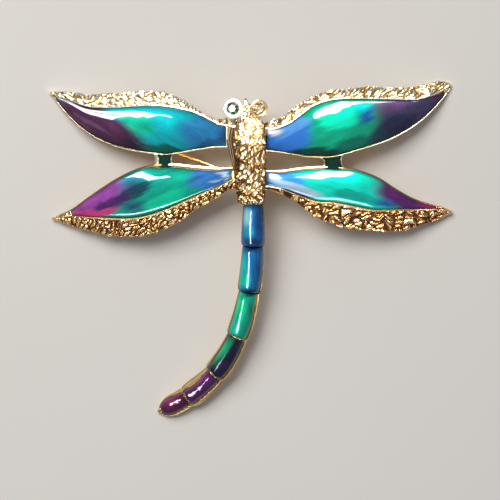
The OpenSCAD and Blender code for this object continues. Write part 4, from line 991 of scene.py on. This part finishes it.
def bridgeEnamelSkin(b):
    # a shallow dome between the raised edges, over the lower wing's rim
    u = np.linspace(0.02, 1, 50)[:, None]
    half, left, right = bridgeSides(b, u)
    left, right = left - bridge["tuck"], right + bridge["tuck"]
    t, under = spread(26), spread(8)[:, ::-1]
    sag = bridge["sag"] * softNoise(u * 3, t * 2, b["seed"])
    top = bridge["fill"] + bridge["doming"] * dome(t) ** 0.8 + sag * dome(t)
    top = top + bridge["lowerLift"] * ease((u - 0.75) / 0.25) + bridge["upperLift"] * ease((0.2 - u) / 0.2)
    foot = bridge["floor"] + 0.02 + 0 * under
    profile = joinParts(len(u), [(mix(left, right, under), foot), (mix(left, right, t), top)])
    slide, up = profile[..., 0], profile[..., 1]
    rings = bridgeSpot(b, np.broadcast_to(u, slide.shape), slide, up, (0.25, 1.1))
    # painted shade: the enamel is darker near its sides
    shore = joinParts(len(u), [(1 + 0 * under,), (np.exp(-np.minimum(t, 1 - t) / 0.12),)])[..., 0]
    return skin(rings), ringValues(shore)


bridgeGlaze = enamelMaterial("enamelBridges", bridgePaint)
for label, b in bridges.items():
    plateBack(putPiece("bridgeMetal" + label, [bridgeMetalSkin(b)], [gold["Polished"]], ["casting"]))
    putPiece("bridgeEnamel" + label, [bridgeEnamelSkin(b)], [bridgeGlaze], [b["node"]], attribute="shore")


# tail

tail = dict(
    length=39.6, curl=68, width=3.8, rise=2.1, side=0.3, tuck=0.8, rim=0.55, rimHeight=0.6, lip=0.22, pinch=0.1,
    joints=[0, 0.17, 0.355, 0.543, 0.722, 0.868, 1], steps=66, gap=0.02, sink=0.55, bow=0.4, doming=0.16,
    wallInset=0.02, backInset=0.1, rimFoot=0.62, rimRound=0.36, deepShade=0.95, lightShade=0.25, slowWave=0.03,
    roll=0.34, rollReach=0.45, proudEdge=0.14, proudTop=0.08,  # of each segment's enamel over the core and its rims
    lipSink=[0.42, 0.36, 0.06, 0.03, 0.03],  # how deep each metal lip lies between two segments
    waves=[0.035, 0.015, 0.008, 0.012, 0.03, 0.03],  # small unevenness of each segment's top
    rows=[  # along, heading, width, height, left rim, right rim
        [0, 0, 0.95, 1, 0.1, 0.1], [0.1, 0.01, 1.01, 1, 0.1, 0.1], [0.26, 0.06, 1.02, 0.97, 0.1, 0.15],
        [0.38, 0.15, 1.03, 0.95, 0.25, 0.7], [0.48, 0.24, 1.03, 0.93, 0.4, 0.7], [0.6, 0.395, 1.05, 0.88, 0.55, 0.8],
        [0.72, 0.595, 1.09, 0.84, 0.9, 1.1], [0.82, 0.77, 1.1, 0.8, 1.9, 1.3], [0.86, 0.83, 1.06, 0.78, 1.3, 1],
        [0.93, 0.93, 0.96, 0.7, 0.7, 0.7], [1, 1, 0.84, 0.62, 0.35, 0.4],
    ],
    paints=[
        dict(base=(28, 112, 180), patches=[
            # painted highlight: the next row's first patch, pale cyan-white on the lit left side
            [246, 217, 9, 17, 0, 1, 160, 238, 246], [248, 232, 10, 9, 0, 0.9, 10, 164, 186],
            [260, 222, 6, 24, 0, 0.7, 28, 64, 128], [252, 207, 14, 4, 0, 0.6, 40, 62, 116],
            # painted shade: the next patch darkens the joint at the segment's lower end
            [253, 242, 16, 6, 0, 0.95, 18, 48, 98]]),
        dict(base=(26, 124, 186), patches=[
            # painted shade: the next row's first patch darkens the joint at the segment's upper end
            [252, 249, 16, 6, 0, 0.95, 18, 48, 102], [243, 266, 8, 24, 3, 1, 0, 214, 206],
            [244, 281, 10, 10, 10, 1, 0, 226, 170], [259, 270, 6, 24, 4, 0.6, 24, 72, 140],
            # painted shade: the next patch darkens the joint at the segment's lower end
            [250, 291, 14, 4, 5, 0.9, 6, 30, 70]]),
        dict(base=(0, 184, 150), patches=[
            # painted shade: the next row's second patch darkens the right side, and the patch below it the upper joint
            [239, 306, 10, 22, 15, 0.85, 0, 226, 150], [253, 316, 6, 24, 12, 0.7, 0, 100, 76],
            [250, 295, 12, 3, 8, 0.8, 0, 50, 60]]),
        dict(base=(30, 28, 66), patches=[
            [224, 350, 6, 26, -35, 0.95, 0, 190, 126], [240, 345, 4, 14, -35, 0.6, 0, 80, 80],
            [226, 366, 12, 7, -35, 0.8, 64, 30, 88]]),
        dict(base=(92, 36, 102), patches=[
            [197, 378, 9, 16, -55, 0.7, 156, 62, 156], [212, 392, 7, 14, -50, 0.85, 56, 44, 130]]),
        dict(base=(92, 24, 72), patches=[
            [169, 401, 9, 14, -60, 0.7, 160, 56, 120], [181, 412, 5, 8, -60, 0.6, 56, 16, 60]]),
    ],
)


tailLook = dict(drift=0.8, strokes=1100, core=0.1, streaking=0.35, foil=0.25)


def tailRow(s, column):
    return readRows(tail["rows"], s, column)


def tailHeading(s):
    return np.radians(tail["curl"] * tailRow(s, 1))


middles = (np.arange(tail["steps"]) + 0.5) / tail["steps"]
stride = tail["length"] / tail["steps"]
pathX = tail["side"] - np.concatenate([[0], np.cumsum(np.sin(tailHeading(middles)))]) * stride
pathY = thorax["front"] - thorax["length"] - np.concatenate([[0], np.cumsum(np.cos(tailHeading(middles)))]) * stride


def tailSpot(s, across, up):  # the path is stepped along its headings, and its back falls toward the tip
    places = np.linspace(0, 1, tail["steps"] + 1)
    sc = np.clip(s, 0, 1)
    heading = tailHeading(sc)
    bow = tail["bow"] * ease(s / 0.08) * ease((1 - s) / 0.1) * (1 - (across / tailHalf(sc)) ** 2)
    beyond = (s - sc) * tail["length"] + bow
    x = np.interp(sc, places, pathX) - np.sin(heading) * beyond + np.cos(heading) * across
    y = np.interp(sc, places, pathY) - np.cos(heading) * beyond - np.sin(heading) * across
    z = thorax["back"] * (1 - sc**1.5) + up
    return np.stack(np.broadcast_arrays(x, y, np.maximum(z, 0.02)), -1)


def segmentPlace(s):  # 0 at a segment's upper end and 1 at its lower end
    joints = np.array(tail["joints"])
    k = np.clip(np.searchsorted(joints, s, side="right") - 1, 0, 5)
    return np.clip((s - joints[k]) / (joints[k + 1] - joints[k]), 0, 1)


def tailSwell(s):
    place01 = segmentPlace(s)
    return 1 - tail["pinch"] * (1 - ease(place01 * 1.2)) - 0.07 * np.abs(2 * place01 - 1) ** 7


def tailRound(s):
    return np.sqrt(np.maximum(1 - np.clip((s - 0.93) / 0.07, 0, 1) ** 2, 0.05))


def tailHalf(s):
    return tail["width"] / 2 * tailRow(s, 2) * tailSwell(s) * tailRound(s)


def tailDome(s, t, sink):
    top = tail["rise"] * tailRow(s, 3) * tailSwell(s) * mix(0.55, 1, tailRound(s))
    base = tail["rimHeight"] * 0.75
    return mix(base, top - sink, np.maximum(1 - np.abs(2 * t - 1) ** 2.3, 0) ** 0.5)


def tailAcross(s, t, gap=0.0):  # from the right rim's inside at t = 0 to the left rim's at t = 1
    right = tailHalf(s) - tail["rim"] * tailRow(s, 5) * tailRound(s) - gap
    left = tailHalf(s) - tail["rim"] * tailRow(s, 4) * tailRound(s) - gap
    return mix(right, -left, t)


def tailCoreSkin():
    # back, rounded side rims and the core under the enamel, which rises in a metal lip between two segments
    joints = np.array(tail["joints"][1:-1])
    near = 0.3 / tail["length"]
    s = np.unique(np.concatenate([
        np.linspace(-tail["tuck"] / tail["length"], 0.93, 240), np.linspace(0.93, 1, 60),
        *[np.linspace(j - near, j + near, 17) for j in joints]]))[:, None]
    sc = np.clip(s, 0, 1)
    away = np.abs(sc - joints[None, :]) * tail["length"]
    nearest = np.argmin(away, 1)[:, None]
    distance = np.take_along_axis(away, nearest, 1)
    lipSink = np.array(tail["lipSink"])[nearest]
    sink = mix(lipSink, tail["sink"], ease((distance - tail["lip"] / 2 + 0.04) / 0.08))
    closing = ease((sc - (1 - 0.45 / tail["length"])) / (0.1 / tail["length"]))
    sink = mix(sink, 0.03, closing)

    half, h = tailHalf(sc), tail["rimHeight"]
    outer, under = half - tail["wallInset"], half - tail["backInset"]
    base, climb, over, t = even(9), even(5), spread(14), spread(56)
    bead = h * (tail["rimFoot"] + tail["rimRound"] * np.sin(even(14) * np.pi) ** 0.8)
    profile = joinParts(len(s), [
        (mix(-under, under, base), 0 * base), (outer + 0 * climb, mix(0.08, h * 0.6, climb)),
        (mix(outer, tailAcross(sc, 0.0), over), bead), (tailAcross(sc, t), tailDome(sc, t, sink)),
        (mix(tailAcross(sc, 1.0), -outer, over), bead), (-outer + 0 * climb, mix(h * 0.6, 0.08, climb))])
    q = np.linspace(0, np.pi / 2, 9)[1:-1, None]
    across, up = profile[..., 0], profile[..., 1]
    endAcross, endUp = across[-1:] * np.cos(q), 0.4 + (up[-1:] - 0.4) * np.cos(q)
    s = np.concatenate([s + 0 * across, 1 + 0.25 * np.sin(q) / tail["length"] + 0 * endAcross])
    across, up = np.concatenate([across, endAcross]), np.concatenate([up, endUp])
    dark = np.where(lipSink > 0.2, tail["deepShade"], tail["lightShade"]) * ease((0.35 - distance) / 0.2)
    order, beside = np.arange(across.shape[1]), climb.shape[1]
    onTop = (order >= base.shape[1] + beside) & (order < len(order) - beside)
    recess = np.concatenate([dark * onTop, np.zeros_like(endAcross)])
    return skin(tailSpot(s, across, up)), ringValues(recess)


def tailEnamelSkin(k):
    # a domed segment: its outside lies a little over the rims, and both of its ends roll over to the lips
    joints = tail["joints"]
    lip = tail["lip"] / 2 / tail["length"]
    start = joints[k] + lip - 0.05 / tail["length"]
    stop = joints[k + 1] - (lip - 0.05 / tail["length"] if k < 5 else 0.4 / tail["length"])
    p, t, under = spread(90).T, spread(60), spread(12)[:, ::-1]
    s = mix(start, stop, p)
    fromEnd = np.minimum(s - start, stop - s) * tail["length"]
    roll = tail["roll"] * (1 - np.sqrt(1 - (1 - np.clip(fromEnd / tail["rollReach"], 0, 1)) ** 2))
    slow = tail["slowWave"] * softNoise(s * 20, t * 3, 60 + k)
    quick = tail["waves"][k] * softNoise(s * 70, t * 5, 80 + k)
    wave = tail["doming"] * (1 - (2 * p - 1) ** 2) * dome(t) + (slow + quick) * dome(t)
    proud = mix(tail["proudEdge"], tail["proudTop"], dome(t))
    top = tailDome(s, t, 0) + proud - roll * (0.3 + 0.7 * dome(t)) + wave
    foot = np.minimum(tailDome(s, under, tail["sink"]) + 0.03, tailDome(s, under, 0) - 0.05)
    profile = joinParts(len(s), [
        (tailAcross(s, under, tail["gap"]), foot), (tailAcross(s, t, tail["gap"]), top)])
    # painted shade: each segment is darker near its sides and ends
    shore = np.maximum(np.exp(-np.minimum(t, 1 - t) / 0.07), np.exp(-fromEnd / 0.3))
    shore = np.concatenate([np.ones_like(foot), shore], 1)
    return skin(tailSpot(s, profile[..., 0], profile[..., 1])), ringValues(shore)


plateBack(putPiece("tailCore", [tailCoreSkin()], [gold["Tail"]], ["casting"]))
for k, segment in enumerate(tail["paints"]):
    look = dict(tailLook, stroke=-90 - 60 * (k / 5) ** 1.5, **segment)
    glaze = enamelMaterial(f"enamelTail{k + 1}", look)
    putPiece(f"tailEnamel{k + 1}", [tailEnamelSkin(k)], [glaze], [f"tail_enamel_{k + 1}"], attribute="shore")


# pads and studs behind the wings, and the CAD fittings

fittings = dict(
    hinge=(10.64, 6.93, 1.5), slope=21, bracketTail=3.3, bracketNose=1, bracketHalf=1.15, catchPlace=27.2,
    catchHalf=1.2, catchReach=3.3, padDepth=0.25, padEmbed=0.75, sheet=0.5, studRadius=0.45, studHead=0.8,
    headThickness=0.3, gap=0.05, padEdge=0.12, padSquare=0.35, studEdge=0.14,
)


def atPin(points):  # from the pin's own frame, X along the pin and Y along the rivet
    turn = np.radians(180 - fittings["slope"])
    x, y, z = points[..., 0], points[..., 1], points[..., 2]
    hx, hy, hz = fittings["hinge"]
    return np.stack([x * np.cos(turn) - y * np.sin(turn) + hx, x * np.sin(turn) + y * np.cos(turn) + hy, z + hz], -1)


def lowestBack(w, xs, ys):  # lowest height of a wing's back over a rectangle of the pin's frame
    spots = atPin(np.array([[x, y, 0.0] for x in xs for y in ys]))
    slope = np.radians(w["sweep"])
    out = (spots[:, 0] - rootX(w)) * w["hand"] * np.cos(slope)
    out = out + (spots[:, 1] - thorax["front"] + w["root"]) * w["band"] * np.sin(slope)
    back = mix(w["lift"], thorax["back"], 1 - np.clip(out / w["length"], 0, 1) ** 1.7)
    return float(back.min()) - fittings["hinge"][2]


def padSkin(xs, ys, low, high):
    # a rounded rectangle carried upward, drawn in along its lower edge
    a = np.linspace(0, 2 * np.pi, 72, endpoint=False)[None, :]
    midX, midY = (xs[0] + xs[1]) / 2, (ys[0] + ys[1]) / 2
    halfX, halfY = (xs[1] - xs[0]) / 2, (ys[1] - ys[0]) / 2
    q = np.linspace(0, np.pi / 2, 8)[:, None]
    edge, square = fittings["padEdge"], fittings["padSquare"]
    inset = np.concatenate([edge * (1 - np.sin(q)), np.zeros((6, 1))])
    up = np.concatenate([low + edge * (1 - np.cos(q)), np.linspace(low + 0.2, high, 6)[:, None]])
    x = midX + (halfX - inset) * np.sign(np.cos(a)) * np.abs(np.cos(a)) ** square
    y = midY + (halfY - inset) * np.sign(np.sin(a)) * np.abs(np.sin(a)) ** square
    return plainSkin(atPin(np.stack([x, y, up + 0 * a], -1)))


def studSkin(x, y, base, top):
    # spread head with a rounded edge, then the stud's shank up into its pad
    f = fittings
    low = base - 2 * f["gap"] - f["sheet"] - f["headThickness"]
    q = np.linspace(0, np.pi / 2, 8)
    edge = f["studEdge"]
    cap = np.stack([f["studHead"] - edge + edge * np.sin(q), low + edge - edge * np.cos(q)], -1)
    rest = np.array([[f["studHead"], low + f["headThickness"]], [f["studRadius"], low + f["headThickness"] + 0.01],
                     [f["studRadius"], top], [0.1, top]])
    rings = turned(np.concatenate([[[0.1, low]], cap, rest]), 56)
    return plainSkin(atPin(rings + [x, y, 0]))


f = fittings
bracketRoom = ((-f["bracketTail"], f["bracketNose"]), (-f["bracketHalf"], f["bracketHalf"]))
catchSides = (f["catchPlace"] - f["catchHalf"], f["catchPlace"] + f["catchHalf"])
hingeBase = lowestBack(wings["LowerRight"], *bracketRoom) - f["padDepth"]
catchBase = lowestBack(wings["UpperLeft"], catchSides, (-f["catchReach"], 0.9)) - f["padDepth"]
rise = f["padDepth"] + f["padEmbed"]
bracketStud = f["bracketTail"] - f["studHead"] - 0.2
catchStud = f["catchReach"] - f["studHead"] - 0.15
backParts = [
    padSkin(*bracketRoom, hingeBase, hingeBase + rise),
    studSkin(-bracketStud, 0, hingeBase, hingeBase + f["padDepth"]),
    padSkin(catchSides, (-f["catchReach"], 0.4), catchBase, catchBase + rise),
    studSkin(f["catchPlace"], -catchStud, catchBase, catchBase + f["padDepth"]),
]
putPiece("backPads", backParts, [gold["Fittings"]], ["casting"])
for node in ("hinge_bracket", "hinge_rivet", "pin_stem", "catch"):
    for holder in frame["nodes"][node].material_slots:
        holder.material = gold["Fittings"]
print("pads, studs and fittings ready")


# floor, lights and camera

def buildFloor():
    # one large pale square with a slow unevenness of tone
    bpy.ops.mesh.primitive_plane_add(size=3, location=(0, 0, 0))
    floor = bpy.context.object
    floor.name = "studioFloor"
    material, tree, shader, spot = newMaterial("paleFloor", {"Roughness": 0.75})
    colour = blend(tree, noise(tree, spot, 9, 3), paint((226, 221, 213)), paint((236, 232, 226)))
    feed(tree, shader, {"Base Color": colour})
    floor.data.materials.append(material)


litPieces = {  # the pieces that some lamps alone light, by the starts of their names
    "leftWings": ("wingEnamelUpperLeft", "wingEnamelLowerLeft"),
    "rightWings": ("wingEnamelUpperRight", "wingEnamelLowerRight"),
    "upperLeft": ("wingEnamelUpperLeft",), "lowerLeft": ("wingEnamelLowerLeft",),
    "lowerRight": ("wingEnamelLowerRight",), "tailBlue": ("tailEnamel1", "tailEnamel2"),
    "tailGreen": ("tailEnamel3",), "tailDark": ("tailEnamel4",), "tailPurple": ("tailEnamel5", "tailEnamel6"),
    "stones": ("eyeStone",), "stoneRight": ("eyeStoneRight",), "cup": ("eyeCupLeft",), "gold": (),  # all gold pieces
}
white, warm = (1.0, 1.0, 1.0), (1.0, 0.99, 0.96)
lamps = [  # name, place, size, radiance, tint, what it lights
    ("skyTop", (-0.26, 0.36, 0.56), (0.5, 0.45), 6.6, (1.0, 0.99, 0.97), None),
    ("skyGold", (0.0, 0.2, 0.75), (1.4, 1.2), 0.45, (1.0, 0.98, 0.94), "gold"),
    ("window", (0.0, 0.35, 0.43), (0.28, 0.36), 24.0, warm, "gold"),
    ("windowLeft", (-0.27, 0.33, 0.43), (0.1, 0.42), 24.0, warm, "leftWings"),
    ("windowRight", (0.12, 0.34, 0.43), (0.12, 0.4), 24.0, warm, "rightWings"),
    ("windowTip", (-0.33, 0.2, 0.43), (0.1, 0.2), 24.0, warm, "upperLeft"),
    ("streakLeft", (-0.05, -0.36, 0.4), (0.4, 0.09), 14.0, white, "lowerLeft"),
    ("streakRight", (0.03, -0.3, 0.42), (0.24, 0.16), 9.0, (0.85, 0.94, 1.0), "lowerRight"),
    ("stoneSky", (0.1, 0.12, 0.72), (0.9, 0.9), 2.6, (1.0, 0.94, 0.82), "stoneRight"),
    ("stripBlue", (-0.17, -0.06, 0.44), (0.32, 0.08), 26.0, (1.0, 0.99, 0.97), "tailBlue"),
    ("stripGreen", (-0.24, -0.11, 0.44), (0.28, 0.09), 26.0, (1.0, 0.99, 0.97), "tailGreen"),
    ("stripDark", (-0.27, -0.1, 0.44), (0.16, 0.1), 8.0, (0.9, 1.0, 0.97), "tailDark"),
    ("stripPurple", (-0.25, -0.01, 0.44), (0.2, 0.16), 20.0, (1.0, 0.97, 0.97), "tailPurple"),
    ("stoneGlint", (-0.26, 0.06, 0.55), (0.15, 0.12), 40.0, white, "stones"),
    ("cupLight", (-0.1, 0.1, 0.6), (0.6, 0.6), 3.0, (1.0, 1.0, 0.98), "cup"),
    ("lampRight", (0.34, -0.1, 0.4), (0.14, 0.14), 10.0, (1.0, 0.95, 0.86), "gold"),
    ("stripBelow", (-0.1, -0.42, 0.3), (0.5, 0.06), 7.0, (1.0, 0.96, 0.9), "gold"),
]


def softbox(name, place, size, radiance, tint, only):
    # A rectangular light aimed at the brooch. With a collection it is seen in the reflections of its pieces and lights
    # nothing else; without one it lights matt surfaces and isn't seen in reflections.
    light = bpy.data.lights.new(name, "AREA")
    light.shape = "RECTANGLE"
    light.size, light.size_y = size
    light.energy = radiance * np.pi * size[0] * size[1]
    light.color = tint
    lamp = bpy.data.objects.new(name, light)
    lamp.location = place
    aim = Vector((0, 0, 4 * mm))
    lamp.rotation_euler = (aim - Vector(place)).to_track_quat("-Z", "Y").to_euler()
    lamp.visible_diffuse, lamp.visible_glossy = only is None, only is not None
    bpy.context.scene.collection.objects.link(lamp)
    if only:
        lamp.light_linking.receiver_collection = only


buildFloor()
receivers = {}
for name, starts in litPieces.items():
    receivers[name] = bpy.data.collections.new(name)
    for piece in bpy.data.objects:
        isGold = piece.type == "MESH" and piece.material_slots and "gold" in piece.material_slots[0].material.name
        if piece.name.startswith(starts) if starts else isGold:
            receivers[name].objects.link(piece)
for *lamp, only in lamps:
    softbox(*lamp, receivers.get(only))

world = bpy.data.worlds.new("studioWorld")
bpy.context.scene.world = world
world.use_nodes = True
feed(world.node_tree, world.node_tree.nodes["Background"].inputs, {"Color": (0.9, 0.92, 1.0, 1), "Strength": 0.22})

camera = bpy.data.cameras.new("photoCamera")
eyeHeight = 600
camera.sensor_width = 36
camera.lens = camera.sensor_width * eyeHeight / (photo["width"] * photo["pixel"])
camera.clip_start, camera.clip_end = 0.01, 10
eye = bpy.data.objects.new("photoCamera", camera)
eye.location = ((photo["width"] / 2 - photo["across"]) * photo["pixel"] * mm, 0, (eyeHeight + 3) * mm)
bpy.context.scene.collection.objects.link(eye)
bpy.context.scene.camera = eye
bpy.context.scene.view_settings.view_transform = "Standard"
print("floor, lights and camera ready")
